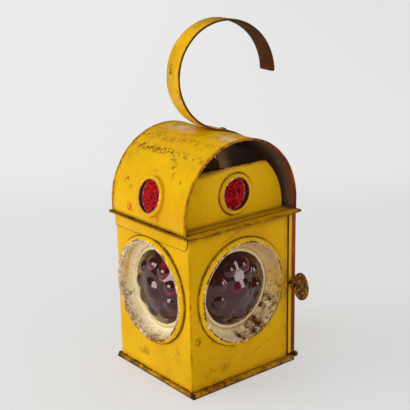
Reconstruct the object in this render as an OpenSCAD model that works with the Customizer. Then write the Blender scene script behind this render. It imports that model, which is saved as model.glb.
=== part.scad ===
// Road-works warning lamp: a square sheet-metal lantern with three bull's-eye lenses,
// a barrel-vault hood, a strip-steel hook and a paraffin burner behind a rear door.
// Millimetres, +Z up. The origin lies on the floor, under the middle of the body.
// The front face looks along -Y, the door closes the +Y side.

/* [Body] */
// Width of the body across its two side faces
body_w = 127; // [124:1:140]
// Depth of the body from the front face to the rear frame
body_d = 132; // [128:1:145]
// Height of the underside of the seam ledge above the floor
ledge_z = 169.5; // [166:0.5:185]
// Thickness of the sheet metal
sheet = 1; // [0.8:0.1:1.2]
// Height of the folded bead round the foot
bead_h = 5; // [4:0.5:6]
// How far the foot bead stands out at the sides
bead_side = 5.5; // [4:0.5:7]
// How far the foot bead stands out at the front
bead_front = 2.5; // [2:0.5:5]
// Width of the foot bead behind the door
bead_rear = 4; // [3:0.5:6]
// Length of the notch between the foot's side and rear beads
foot_notch = 11; // [8:0.5:14]

/* [Seam ledge and front skirt] */
// Thickness of the hemmed ledge
ledge_t = 2.2; // [1.8:0.1:3]
// How far the ledge stands out past the side faces
ledge_side = 6.5; // [5:0.5:9]
// How far the ledge stands out past the front face
ledge_front = 6; // [5:0.5:8]
// How far the ledge reaches past the door's outer face
ledge_rear = 2.5; // [1:0.5:5]
// Depth of the skirt that laps over the front face
skirt_h = 14; // [10:0.5:18]
// Radius of the skirt's lower corners
skirt_r = 8; // [4:0.5:9]
// How far the skirt's right end stays clear of the corner
skirt_gap = 1.5; // [0.5:0.5:4]

/* [Hood] */
// How far the barrel-vault hood stands out past the front face
hood_front = 4.1; // [2:0.1:5]
// How far the hood stops short of the door's outer face
hood_back = 0.5; // [0:0.1:3]
// Straight height of the hood's sides above the ledge
hood_wall = 11.6; // [8:0.1:20]
// Width of the hem inside each end of the hood
hem_w = 5; // [3:0.5:8]
// Width of the feet folded in along the hood's lower edges
foot_w = 7; // [5:0.5:9]
// Setback of the end panels from the hood's rim
panel_set = 14; // [12:0.5:18]
// Air gap between the end panels' curved edge and the hood
panel_gap = 7.3; // [6.5:0.1:12]
// How far the end panels' arc is centred below the hood's
panel_drop = 7; // [4:0.5:9]
// Height of the end panels above the ledge
panel_h = 56.3; // [50:0.1:60]
// Width of the flange at the foot of each end panel
panel_flange = 9; // [6:0.5:11]

/* [Lenses] */
// Outer radius of the dished lens bezel
bezel_r = 58.3; // [56:0.1:60]
// Radius of the bezel's raised crest
crest_r = 52.6; // [51:0.1:53.4]
// Height of the bezel's crest above the face
crest_h = 5; // [4:0.1:6]
// Depth of the bezel's flat inner ring below the face
dish_depth = 11.3; // [9:0.1:13]
// Clear radius through the bezel
lens_hole_r = 39.7; // [37:0.1:41]
// Depth of the lens centres below the ledge's underside
lens_drop = 71; // [68:0.5:74]
// Sideways offset of the front lens
front_lens_x = -2.5; // [-3:0.5:3]
// Rearward offset of the side lenses
side_lens_y = 1.5; // [0:0.5:2]
// Radius of the lens dome's outer surface
dome_r = 68; // [60:1:90]
// Thickness of the pressed glass
glass_t = 3; // [2.5:0.5:4]
// Radius of curvature of the middle bull's-eye
eye_r = 24; // [20:1:28]
// Height of the middle bull's-eye above the dome
eye_h = 2.6; // [1.8:0.1:2.8]
// Radius of curvature of the bumps in the ring round it
bump_r = 11.5; // [11:0.5:14]
// Height of the ring's bumps above the dome
bump_h = 2.4; // [2:0.1:2.8]
// Spacing of the ring's bumps from the middle
bump_pitch = 28.5; // [26.5:0.5:29]
// Bumps in the ring
bump_count = 9; // [6:1:9]
// How far the front lens is turned in its bezel
front_lens_turn = 17; // [0:1:40]
// How far the side lenses are turned in their bezels
side_lens_turn = -4; // [-20:1:20]

/* [Reflectors] */
// Outer radius of the reflector rings
ring_r = 21.2; // [20:0.1:22]
// Height of the ring above its panel
ring_h = 2.6; // [2:0.1:4]
// Radius of the reflector glass
reflex_r = 17.6; // [16:0.1:18.4]
// Height of the side reflectors' centres above the ledge
side_reflex_h = 27.6; // [24:0.1:31]
// Rearward offset of the side reflectors
side_reflex_y = 6; // [2:0.5:8]
// Angle of the front reflector up the hood's curve
front_reflex_angle = 14; // [10:0.5:18]
// Sideways offset of the front reflector
front_reflex_x = 5; // [0:0.5:8]

/* [Hook] */
// Outer radius of the hook's loop
hook_r = 57.5; // [45:0.5:62]
// Width of the hook's strap
strap_w = 26; // [20:0.5:30]
// Thickness of the hook's strap
strap_t = 2.2; // [1.8:0.1:3]
// Where the strap leaves the hood, behind the crest
leave_angle = 10.8; // [6:0.2:14]
// How far round the hood the strap's root reaches
root_angle = 48; // [44:1:56]
// Twist of the loop about the vertical
hook_yaw = 9.5; // [0:0.5:12]

/* [Door] */
// Depth of the door pan
door_d = 11.8; // [11.5:0.1:14]
// Gap between the body and the door's flanges
door_gap = 2.2; // [1.6:0.1:3]
// Clearance over the foot bead and under the ledge
door_clear = 0.9; // [0.6:0.1:2]
// Step from the body's face to the door frame
frame_step = 2; // [1.8:0.1:2.4]
// Radius of the rolled free edge of the door
roll_r = 2.6; // [2.2:0.1:2.8]
// Radius of the vent holes at the foot of the door
vent_r = 3; // [2:0.5:4]
// Number of vent holes
vent_count = 7; // [3:1:9]
// Radius of the hinge pins
pin_r = 1.2; // [1:0.05:1.4]
// Running clearance of the latch spindle and hinge pins
pin_clear = 0.05; // [0.03:0.01:0.08]
// Height of each hinge
hinge_h = 30; // [24:1:36]

/* [Latch] */
// Height of the latch above the floor
latch_z = 90; // [70:0.5:110]
// Width of the thumb plate, out from the side
wing_w = 21; // [16:0.5:24]
// Height of the thumb plate
wing_h = 31; // [26:0.5:36]
// Thickness of the thumb plate
wing_t = 4; // [3:0.5:4.5]
// Lean of the thumb plate
wing_lean = 5; // [0:1:8]
// Radius of the latch spindle
spindle_r = 1.6; // [1.4:0.05:2]

/* [Fount and burner] */
// Radius of the paraffin tank
tank_r = 39; // [37:0.5:41]
// Height of the paraffin tank
tank_h = 48; // [42:1:50]
// Radius of the burner cup
burner_r = 14; // [13.5:0.5:15]
// Height of the burner cup
burner_h = 20; // [18:0.5:24]
// Width of the flat wick
wick_w = 14; // [12:0.5:15]
// Thickness of the flat wick
wick_t = 2.6; // [2:0.1:3]
// Radius of the wick winder's spindle
winder_r = 1.2; // [1:0.05:1.4]
// Running clearance of the winder's spindle
winder_clear = 0.05; // [0.03:0.01:0.08]
// Radius of the filler cap
cap_r = 9.5; // [8.5:0.5:10]

/* [Hidden] */
$fn = 72;

// Body
hw = body_w / 2;
hd = body_d / 2;
face_fit = 0.2;
door_y0 = hd + door_gap;
door_y1 = door_y0 + door_d;
door_z0 = bead_h + door_clear;
door_z1 = ledge_z - door_clear;
rear_y = door_y1 + bead_rear;
notch_cut = 4;

// Seam ledge
ledge_top = ledge_z + ledge_t;
ledge_corner = 4;
chimney_r = 34;
chimney_drop = 8;
chimney_rise = 16;
chimney_lip = 5;

// Hood
hood_r = (hd + hood_front + door_y1 - hood_back) / 2;
hood_y = hood_r - hd - hood_front;
hood_z = ledge_top + hood_wall;
hood_in = hood_r - sheet;
panel_x = hw - panel_set;
panel_r = hood_in - panel_gap;
panel_top = ledge_top + panel_h;
side_reflex_z = ledge_top + side_reflex_h;
baffle_rise = 36;
baffle_z = ledge_top + baffle_rise;
baffle_l = 84;
baffle_air = 2.5;
baffle_wing = 28;
baffle_leg = 14;
baffle_foot = 8;

// Lens stations
lens_z = ledge_z - lens_drop;
skirt_t = 0.9;
crest_round = 1.5;
lip_roll = 1.4;
bezel_hole_r = crest_r + 2;
flat_r = 44.5;
tube_r = flat_r + sheet;
tube_len = 9;
gasket_t = 1;
flange_t = glass_t;
flange_r = flat_r - 0.2;
dome_edge_r = lens_hole_r - 0.5;
dome_foot = dish_depth + sheet + gasket_t;
dome_step = 2.5;
dome_zc = -dome_foot + dome_step - sqrt(dome_r * dome_r - dome_edge_r * dome_edge_r);
retainer_t = 1.5;
retainer_in = lens_hole_r + 1;

// Reflectors
reflex_dome = 2.2;
reflex_flat = 3;
barrel_r = ring_r - 1.6;
barrel_len = 5;
baffle_side = panel_x - barrel_len - baffle_air;
reflex_fit = 0.15;

// Hook, in the vertical plane through the strap before the loop is twisted
hook_leave_y = hood_y + hood_r * sin(leave_angle);
hook_leave_z = hood_z + hood_r * cos(leave_angle);
hook_rivet_angles = [20, 31, root_angle - 6];
rivet_r = 2;
rivet_head_r = 3.6;
rivet_head_h = 1.4;
backing_t = 1.2;

// Door and hinges
frame_x = hw - frame_step;
frame_gap = 1.5;
frame_z0 = door_z0 + sheet + frame_gap;
frame_z1 = door_z1 - sheet - frame_gap;
roll_x = hw - roll_r;
roll_y = door_y1 - roll_r;
roll_clear = 0.5;
frame_y1 = roll_y - roll_r - roll_clear;
knuckle_r = 2.5;
knuckle_fit = 0.3;
hinge_x = -hw - knuckle_r - 0.1;
hinge_y = hd + door_gap / 2;
leaf_t = 0.8;
leaf_w = 6.5;
knuckle_end = hinge_h * 0.3;
hinge_inset = 22;
hinge_zs = [door_z0 + hinge_inset, door_z1 - hinge_inset - hinge_h];
groove_w = 1.5;
wire_r = 1.1;
wire_fit = 0.02;
wire_set = 0.4;
vent_z = door_z0 + 20;
vent_pitch = 12;
baffle_gap = 2;

// Latch
cam_t = 2;
cam_l = 8;
cam_w = 3.2;
cam_fit = 0.3;
lip_w = 5;
latch_y = frame_y1 - sheet - cam_fit - cam_w / 2;
cam_eye = spindle_r + 1.5;
lip_notch = cam_eye + 0.8;
slot_r = spindle_r + 0.7;
cam_x1 = frame_x - sheet - 0.4;
nut_t = 1.6;
wing_x0 = hw + 1;
wing_root = 5.5;
wing_root_h = 17;
wing_mid_x = wing_x0 + wing_root + wing_w / 2 - 1;

// Fount and burner
tank_z = sheet;
tank_top = tank_z + tank_h;
tank_round = 5;
collar_h = 6;
burner_z = tank_top + collar_h;
burner_top = burner_z + burner_h;
cone_h = 8;
tube_t = 1;
tube_fit = 0.2;
tube_half_x = wick_t / 2 + tube_fit + tube_t;
tube_half_y = wick_w / 2 + tube_fit + tube_t;
collar_bore = sqrt(tube_half_x * tube_half_x + tube_half_y * tube_half_y) + 0.3;
collar_r = collar_bore + 3;
cone_top_r = tube_half_y + 2;
cone_slot = 0.7;
tube_z0 = tank_top - 6;
tube_z1 = burner_top + cone_h;
wick_up = 2.5;
wick_foot = 12;
wheel_r = 3.2;
wheel_w = 1.5;
wheel_gap = 4;
wheel_fit = 0.3;
winder_x = wick_t / 2 + wheel_r + wheel_fit;
winder_z = burner_z + burner_h / 2;
winder_reach = burner_r + 22;
winder_knob_r = 6.5;
winder_knob_h = 5;
filler_inset = 14;
filler_y = -max(burner_r + cap_r + 1.5, tank_r - filler_inset);
neck_r = 6;
neck_h = 5;
cap_h = 8;
washer_t = 1.2;
clip_w = 14;
clip_h = 22;

yellow = [0.93, 0.75, 0.05];
ochre = [0.74, 0.53, 0.08];
rust = [0.36, 0.2, 0.09];
cream = [0.93, 0.89, 0.76];
ruby = [0.35, 0.02, 0.03];
scarlet = [0.78, 0.03, 0.08];
dark = [0.2, 0.15, 0.12];
brass = [0.72, 0.55, 0.25];
tin = [0.55, 0.55, 0.53];
cotton = [0.85, 0.82, 0.74];

// Box given by its two corners
module block(x0, y0, z0, x1, y1, z1) {
    translate([x0, y0, z0]) cube([x1 - x0, y1 - y0, z1 - z0]);
}

// Rectangle with round corners, given by its two corners
module round_rect(x0, y0, x1, y1, r) {
    translate([x0 + r, y0]) square([x1 - x0 - 2 * r, y1 - y0]);
    translate([x0, y0 + r]) square([x1 - x0, y1 - y0 - 2 * r]);
    for (x = [x0 + r, x1 - r], y = [y0 + r, y1 - r]) translate([x, y]) circle(r);
}

// Bar along +X with one rounded long edge at the far side: width w along +Y, height h
module bead_bar(length, w, h) {
    r = min(w, h) / 2 * 0.9;
    rotate([90, 0, 90]) linear_extrude(length) {
        square([w - r, h]);
        square([w, h - r]);
        translate([w - r, h - r]) circle(r);
    }
}

// Round rivet with a low domed head above z = 0 and a shank below
module rivet(shank) {
    translate([0, 0, -shank]) cylinder(h = shank, r = rivet_r);
    cylinder(h = rivet_head_h * 0.4, r = rivet_head_r);
    translate([0, 0, rivet_head_h * 0.4])
        cylinder(h = rivet_head_h * 0.6, r1 = rivet_head_r, r2 = rivet_head_r * 0.55);
}

// Places a piece on a body face: its +Z points out of the face
module on_front(x, z) { translate([x, -hd, z]) rotate([90, 0, 0]) children(); }
module on_right(y, z) { translate([hw, y, z]) rotate([90, 0, 90]) children(); }
module on_left(y, z) { translate([-hw, y, z]) rotate([90, 0, -90]) children(); }

// Places a piece on the hood's outside at an angle up from the horizontal front
module on_hood_front(x, angle) {
    translate([x, hood_y, hood_z]) rotate([90 - angle, 0, 0]) translate([0, 0, hood_r]) children();
}

// Places a piece at each rivet of the hook's root, its +Z out of the hood
module at_hook_rivets() {
    for (a = hook_rivet_angles) {
        back = hood_r * sin(a) - hood_r * sin(leave_angle);
        translate([back * tan(hook_yaw), hood_y, hood_z]) rotate([-a, 0, 0])
            translate([0, 0, hood_r]) children();
    }
}

// Upright outline of the hood at radius r, in the YZ plane, from the ledge up
module arch(r) {
    translate([hood_y, hood_z]) circle(r);
    translate([hood_y - r, ledge_top]) square([2 * r, hood_z - ledge_top]);
}

// Band between two such outlines, above the ledge
module arch_band(outer, inner) {
    difference() {
        arch(outer);
        arch(inner);
        translate([hood_y - outer, ledge_top - outer]) square([2 * outer, outer]);
    }
}

// Solid that stands along X from x0 to x1 with a YZ outline
module along_x(x0, x1) {
    translate([x0, 0, 0]) rotate([90, 0, 90]) linear_extrude(x1 - x0) children();
}

// Foot: flat plate with the folded bead round it
module base_tray() {
    color(ochre) difference() {
        union() {
            block(-hw - bead_side, -hd - bead_front, 0, hw + bead_side, rear_y, sheet);
            translate([-hw, -hd, 0]) rotate([0, 0, 180]) translate([-body_w, 0, 0])
                bead_bar(body_w, bead_front, bead_h);
            for (s = [0, 1]) mirror([s, 0, 0])
                translate([hw, rear_y, 0]) rotate([0, 0, -90])
                    bead_bar(rear_y + hd + bead_front, bead_side, bead_h);
            translate([-hw, door_y1, 0]) bead_bar(body_w, bead_rear, bead_h);
        }
        for (s = [-1, 1]) translate([s * (hw + bead_side), -hd - bead_front, bead_h / 2 + sheet])
            rotate([0, 0, 45]) cube([notch_cut, notch_cut, bead_h], center = true);
        for (s = [0, 1]) mirror([s, 0, 0])
            block(hw, rear_y - foot_notch, -1, hw + bead_side + 1, rear_y + 1, bead_h + 1);
    }
}

// Front and sides, folded from one sheet
module body_shell() {
    color(yellow) difference() {
        block(-hw, -hd, sheet, hw, hd, ledge_z);
        block(-hw + sheet, -hd + sheet, 0, hw - sheet, hd + sheet, ledge_z + sheet);
        on_front(front_lens_x, lens_z) bezel_hole();
        on_right(side_lens_y, lens_z) bezel_hole();
        on_left(side_lens_y, lens_z) bezel_hole();
    }
}

module bezel_hole() {
    translate([0, 0, -2 * sheet]) cylinder(h = 4 * sheet, r = bezel_hole_r);
}

// Rear wall with the frame that the door closes over, its right side lipped for the latch
module rear_frame() {
    inner_x = frame_x - sheet;
    color(ochre) difference() {
        union() {
            block(-hw + sheet, hd - sheet, sheet, hw - sheet, hd, ledge_z);
            block(-frame_x, hd - sheet, frame_z0, frame_x, frame_y1, frame_z1);
        }
        block(-inner_x, hd - 2 * sheet, frame_z0 + sheet, inner_x, frame_y1 - sheet, frame_z1 - sheet);
        block(-inner_x, hd, frame_z0 + sheet, inner_x - lip_w, frame_y1 + sheet, frame_z1 - sheet);
        block(inner_x - lip_w - sheet, frame_y1 - 2 * sheet, latch_z - lip_notch,
              inner_x, frame_y1 + sheet, latch_z + lip_notch);
        block(inner_x - sheet, latch_y - slot_r, latch_z - slot_r,
              frame_x + sheet, frame_y1 + sheet, latch_z + slot_r);
    }
}

// Skirt folded down from the seam ledge over the front face
module front_skirt() {
    color(yellow) difference() {
        translate([0, -hd, 0]) rotate([90, 0, 0]) linear_extrude(skirt_t) intersection() {
            translate([-hw, ledge_z - skirt_h]) square([body_w, skirt_h]);
            union() {
                translate([-hw, ledge_z - skirt_h + skirt_r]) square([body_w - skirt_gap, skirt_h]);
                translate([-hw, ledge_z - skirt_h]) square([body_w - skirt_gap - skirt_r, skirt_h]);
                translate([hw - skirt_gap - skirt_r, ledge_z - skirt_h + skirt_r]) circle(skirt_r);
            }
        }
        on_front(front_lens_x, lens_z) translate([0, 0, -sheet])
            cylinder(h = 4 * sheet, r = bezel_r + face_fit);
    }
}

// Hemmed ledge between body and hood, with the chimney hole
module seam_ledge() {
    color(ochre) difference() {
        translate([0, 0, ledge_z]) linear_extrude(ledge_t)
            round_rect(-hw - ledge_side, -hd - ledge_front,
                       hw + ledge_side, door_y1 + ledge_rear, ledge_corner);
        translate([0, 0, ledge_z - 1]) cylinder(h = ledge_t + 2, r = chimney_r);
    }
}

// Barrel-vault hood, hemmed at both ends and footed on the ledge
module hood_shell() {
    lap = sheet / 2;
    color(yellow) difference() {
        union() {
            along_x(-hw, hw) arch_band(hood_r, hood_in);
            for (s = [0, 1]) mirror([s, 0, 0])
                along_x(hw - hem_w, hw) arch_band(hood_in + lap, hood_in - sheet);
            block(-hw, hood_y - hood_in - lap, ledge_top, hw, hood_y - hood_in + foot_w, ledge_top + sheet);
            block(-hw, hood_y + hood_in - foot_w, ledge_top, hw, hood_y + hood_in + lap, ledge_top + sheet);
        }
        on_hood_front(front_reflex_x, front_reflex_angle) translate([0, 0, -barrel_len - ring_h])
            cylinder(h = barrel_len + 2 * ring_h, r = barrel_r + face_fit);
        at_hook_rivets() translate([0, 0, -4 * sheet]) cylinder(h = 8 * sheet, r = rivet_r);
    }
}

// End panel with its outward foot flange, at the +X end
module end_panel(hole_y) {
    color(yellow) difference() {
        union() {
            along_x(panel_x - sheet, panel_x) intersection() {
                translate([0, -panel_drop]) arch(panel_r);
                translate([hood_y - panel_r, ledge_top]) square([2 * panel_r, panel_top - ledge_top]);
            }
            block(panel_x, hood_y - panel_r, ledge_top,
                  panel_x + panel_flange, hood_y + panel_r, ledge_top + sheet);
        }
        translate([panel_x - 2 * sheet, hole_y, side_reflex_z]) rotate([0, 90, 0])
            cylinder(h = 4 * sheet, r = barrel_r + face_fit);
    }
}

module end_panel_right() { end_panel(side_reflex_y); }
module end_panel_left() { mirror([1, 0, 0]) end_panel(side_reflex_y); }

// Tube that leads hot air from the burner chamber up under the hood
module chimney_tube() {
    color(rust) difference() {
        union() {
            translate([0, 0, ledge_z - chimney_drop])
                cylinder(h = chimney_drop + ledge_t + chimney_rise, r = chimney_r - face_fit);
            translate([0, 0, ledge_top]) cylinder(h = sheet, r = chimney_r + chimney_lip);
        }
        translate([0, 0, ledge_z - chimney_drop - 1])
            cylinder(h = chimney_drop + ledge_t + chimney_rise + 2, r = chimney_r - face_fit - sheet);
    }
}

// Plate on two legs that keeps the heat off the hood's crest
module heat_baffle() {
    leg_y = baffle_l / 2;
    color(rust) union() {
        block(-baffle_leg, -leg_y, baffle_z, baffle_leg, leg_y, baffle_z + sheet);
        block(-baffle_side, -baffle_wing, baffle_z, baffle_side, baffle_wing, baffle_z + sheet);
        for (s = [0, 1]) mirror([0, s, 0]) {
            block(-baffle_leg, leg_y - sheet, ledge_top, baffle_leg, leg_y, baffle_z + sheet);
            block(-baffle_leg, leg_y - sheet, ledge_top, baffle_leg, leg_y + baffle_foot, ledge_top + sheet);
        }
    }
}

// Ring sector in the YZ plane, from angle a0 to a1 measured from +Y, radius r0 to r1
module ring_sector(r0, r1, a0, a1, w) {
    translate([-w / 2, 0, 0]) rotate([90, 0, 90]) rotate([0, 0, a0])
        rotate_extrude(angle = a1 - a0, $fn = 144) translate([r0, 0]) square([r1 - r0, w]);
}

// Slab as wide as the strap, upright and turned with the hook, from the hook's root back
module strap_slab(width, y0, y1) {
    translate([0, hook_leave_y, 0]) rotate([0, 0, -hook_yaw])
        block(-width / 2, y0, hood_z, width / 2, y1, hood_z + 2 * hood_r);
}

// Part of a ring round the hood that lies under the hook's root
module root_ring(r0, r1, width) {
    intersection() {
        translate([0, hood_y, hood_z])
            ring_sector(r0, r1, 90 - root_angle, 90 - leave_angle, 2 * strap_w);
        strap_slab(width, -strap_w, hood_r);
    }
}

// Strap of the hook: a root bent round the back of the hood, then an open loop
module hook_strap() {
    color(yellow) difference() {
        union() {
            root_ring(hood_r, hood_r + strap_t, strap_w);
            translate([0, hook_leave_y, hook_leave_z]) rotate([0, 0, -hook_yaw])
                translate([0, hook_r * sin(leave_angle), hook_r * cos(leave_angle)])
                    ring_sector(hook_r - strap_t, hook_r, 0, 270 - leave_angle, strap_w);
        }
        at_hook_rivets() translate([0, 0, -sheet]) cylinder(h = strap_t + 2 * sheet, r = rivet_r);
    }
}

// Curved plate inside the hood that the strap is riveted through
module hook_backing() {
    color(dark) difference() {
        root_ring(hood_in - backing_t, hood_in, strap_w);
        at_hook_rivets() translate([0, 0, -4 * sheet - backing_t]) cylinder(h = 8 * sheet, r = rivet_r);
    }
}

module hook_rivets() {
    seat_r = hood_in - backing_t;
    sag = seat_r - sqrt(seat_r * seat_r - rivet_head_r * rivet_head_r);
    grip = strap_t + sheet + backing_t + sag;
    color(rust) at_hook_rivets() {
        translate([0, 0, strap_t]) rivet(grip);
        translate([0, 0, strap_t - grip]) mirror([0, 0, 1]) cylinder(h = rivet_head_h, r = rivet_head_r);
    }
}

// Points of a quarter ellipse round [cr, cz], from angle a0 to a1
function quarter(cr, cz, w, h, a0, a1) =
    [for (i = [0:8]) let (a = a0 + (a1 - a0) * i / 8) [cr + w * cos(a), cz + h * sin(a)]];

// Half outline of the bezel: lip on the face, crest, dish wall, flat ring with a rolled
// inner edge, and rear tube
module bezel_outline() {
    lip = bezel_r - crest_r;
    wall_z = crest_h - crest_round;
    wall_w = crest_r - crest_round - flat_r;
    wall_h = wall_z + dish_depth;
    polygon(concat(
        quarter(crest_r, 0, lip, crest_h, 0, 90),
        quarter(crest_r, wall_z, crest_round, crest_round, 100, 180),
        quarter(flat_r, wall_z, wall_w, wall_h, -8, -90),
        quarter(lens_hole_r + lip_roll, -dish_depth, lip_roll, lip_roll, 0, 180),
        [[lens_hole_r, -dish_depth - sheet],
         [flat_r, -dish_depth - sheet], [flat_r, -dish_depth - sheet - tube_len],
         [tube_r, -dish_depth - sheet - tube_len], [tube_r, -dish_depth - sheet * 0.6]],
        quarter(flat_r, wall_z, wall_w + sheet, wall_h + sheet, -82, 0),
        quarter(crest_r, 0, lip - sheet, crest_h - sheet, 90, 0)));
}

module bezel() { color(cream) rotate_extrude() bezel_outline(); }
module bezel_front() { on_front(front_lens_x, lens_z) bezel(); }
module bezel_right() { on_right(side_lens_y, lens_z) bezel(); }
module bezel_left() { on_left(side_lens_y, lens_z) bezel(); }

// Pressed glass lens: flange, dome and round bumps, hollow at the back
module lens() {
    color(ruby) difference() {
        union() {
            translate([0, 0, -dome_foot - flange_t]) cylinder(h = flange_t, r = flange_r);
            translate([0, 0, -dome_foot]) cylinder(h = dome_step, r = dome_edge_r);
            intersection() {
                translate([0, 0, dome_zc]) sphere(dome_r, $fn = 180);
                translate([0, 0, -dome_foot]) cylinder(h = dome_r, r = dome_edge_r);
            }
            intersection() {
                union() {
                    bump(0, 0, eye_r, eye_h);
                    for (i = [0:bump_count - 1]) bump(bump_pitch, 360 * i / bump_count, bump_r, bump_h);
                }
                translate([0, 0, -dome_foot]) cylinder(h = dome_r, r = dome_edge_r);
            }
        }
        intersection() {
            translate([0, 0, dome_zc]) sphere(dome_r - glass_t, $fn = 180);
            translate([0, 0, -dome_foot - flange_t - 1]) cylinder(h = dome_r, r = dome_edge_r - glass_t);
        }
        translate([0, 0, -dome_foot - flange_t - 1]) cylinder(h = flange_t + 2, r = dome_edge_r - glass_t);
    }
}

// One bump: a sphere of radius r that stands h above the dome at distance d from the middle
module bump(d, angle, r, h) {
    tilt = asin(d / dome_r);
    translate([0, 0, dome_zc]) rotate([0, 0, angle]) rotate([0, tilt, 0])
        translate([0, 0, dome_r + h - r]) sphere(r);
}

module lens_front() { on_front(front_lens_x, lens_z) rotate([0, 0, front_lens_turn]) lens(); }
module lens_right() { on_right(side_lens_y, lens_z) rotate([0, 0, side_lens_turn]) lens(); }
module lens_left() { on_left(side_lens_y, lens_z) rotate([0, 0, side_lens_turn]) lens(); }

// Flat washer with its top face at z = 0
module washer(r_in, r_out, t) {
    translate([0, 0, -t]) difference() {
        cylinder(h = t, r = r_out);
        translate([0, 0, -1]) cylinder(h = t + 2, r = r_in);
    }
}

module gasket() {
    color(dark) translate([0, 0, -dish_depth - sheet]) washer(retainer_in, flange_r, gasket_t);
}
module gasket_front() { on_front(front_lens_x, lens_z) gasket(); }
module gasket_right() { on_right(side_lens_y, lens_z) gasket(); }
module gasket_left() { on_left(side_lens_y, lens_z) gasket(); }

// Spring ring that holds the glass in the bezel's rear tube
module retainer() {
    color(rust) translate([0, 0, -dome_foot - flange_t]) washer(retainer_in, flat_r - 0.05, retainer_t);
}
module retainer_front() { on_front(front_lens_x, lens_z) retainer(); }
module retainer_right() { on_right(side_lens_y, lens_z) retainer(); }
module retainer_left() { on_left(side_lens_y, lens_z) retainer(); }

// Reflector ring: a flange on the panel and a barrel through it
module reflector_ring() {
    color(yellow) rotate_extrude() polygon([
        [barrel_r, 0], [ring_r, 0], [ring_r, ring_h * 0.5], [ring_r - 0.8, ring_h * 0.85],
        [ring_r - 2, ring_h], [reflex_r - 0.4, ring_h], [reflex_r - 0.4, ring_h - 0.8],
        [reflex_r + reflex_fit, ring_h - 0.8],
        [reflex_r + reflex_fit, -barrel_len], [barrel_r, -barrel_len]]);
}

// Moulded reflector glass behind the ring's lip
module reflector_glass() {
    base = ring_h - 0.8;
    dome = (reflex_r * reflex_r + reflex_dome * reflex_dome) / (2 * reflex_dome);
    color(scarlet) union() {
        translate([0, 0, base - reflex_flat]) cylinder(h = reflex_flat, r = reflex_r);
        intersection() {
            translate([0, 0, base + reflex_dome - dome]) sphere(dome, $fn = 144);
            translate([0, 0, base - 1]) cylinder(h = 2 * reflex_dome, r = reflex_r - 1);
        }
    }
}

module reflector_back() {
    color(tin) translate([0, 0, ring_h - 0.8 - reflex_flat]) washer(3, reflex_r, sheet);
}

module at_front_reflex() { on_hood_front(front_reflex_x, front_reflex_angle) children(); }
module at_right_reflex() {
    translate([panel_x, side_reflex_y, side_reflex_z]) rotate([90, 0, 90]) children();
}
module at_left_reflex() {
    translate([-panel_x, side_reflex_y, side_reflex_z]) rotate([90, 0, -90]) children();
}

// The front ring's flange is carried down to the hood's curve
module reflector_ring_front() {
    sag = hood_r - sqrt(hood_r * hood_r - ring_r * ring_r);
    color(yellow) union() {
        at_front_reflex() reflector_ring();
        difference() {
            at_front_reflex() translate([0, 0, -sag - 0.1]) difference() {
                cylinder(h = sag + 0.2, r = ring_r);
                translate([0, 0, -1]) cylinder(h = sag + 3, r = barrel_r - 0.5);
            }
            along_x(-hw, hw) arch(hood_r);
        }
    }
}
module reflector_ring_right() { at_right_reflex() reflector_ring(); }
module reflector_ring_left() { at_left_reflex() reflector_ring(); }
module reflector_glass_front() { at_front_reflex() reflector_glass(); }
module reflector_glass_right() { at_right_reflex() reflector_glass(); }
module reflector_glass_left() { at_left_reflex() reflector_glass(); }
module reflector_backs() {
    at_front_reflex() reflector_back();
    at_right_reflex() reflector_back();
    at_left_reflex() reflector_back();
}

// Door: a shallow pan with flanges all round, its free edge rolled round a wire
module door_pan() {
    color(yellow) difference() {
        union() {
            difference() {
                block(-hw, door_y0, door_z0, hw, door_y1, door_z1);
                block(-hw + sheet, door_y0 - sheet, door_z0 + sheet,
                      hw - sheet, door_y1 - sheet, door_z1 - sheet);
                block(hw - sheet / 2, roll_y - roll_r - groove_w, door_z0 - 1,
                      hw + 1, door_y1 + 1, door_z1 + 1);
                block(roll_x, roll_y, door_z0 - 1, hw + 1, door_y1 + 1, door_z1 + 1);
            }
            translate([roll_x, roll_y, door_z0]) cylinder(h = door_z1 - door_z0, r = roll_r);
        }
        translate([roll_x, roll_y, door_z0 - 1]) cylinder(h = door_z1 - door_z0 + 2, r = wire_r);
        translate([hw - 2 * sheet, latch_y, latch_z]) rotate([0, 90, 0])
            cylinder(h = 4 * sheet, r = spindle_r + pin_clear);
        for (i = [0:vent_count - 1])
            translate([(i - (vent_count - 1) / 2) * vent_pitch, door_y1 - 2 * sheet, vent_z])
                rotate([-90, 0, 0]) cylinder(h = 4 * sheet, r = vent_r);
    }
}

// Wire inside the door's rolled edge, its ends just inside the roll
module door_edge_wire() {
    color(dark) translate([roll_x, roll_y, door_z0 + wire_set])
        cylinder(h = door_z1 - door_z0 - 2 * wire_set, r = wire_r - wire_fit);
}

// Plate inside the door that shields the vent holes from wind
module door_wind_baffle() {
    half = vent_count * vent_pitch / 2 + vent_r;
    y1 = door_y1 - sheet;
    color(ochre) union() {
        block(-half, y1 - baffle_gap - sheet, vent_z - 3 * vent_r,
              half, y1 - baffle_gap, vent_z + 3 * vent_r);
        block(-half, y1 - baffle_gap - sheet, vent_z + 3 * vent_r, half, y1, vent_z + 3 * vent_r + sheet);
    }
}

// Knuckle ring along Z between two heights
module knuckle(z0, z1) {
    translate([hinge_x, hinge_y, z0]) cylinder(h = z1 - z0, r = knuckle_r);
}

// Room that a hinge leaf leaves for the other leaf's knuckle
module knuckle_room(z0, z1) {
    translate([hinge_x, hinge_y, z0]) cylinder(h = z1 - z0, r = knuckle_r + knuckle_fit);
}

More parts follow.
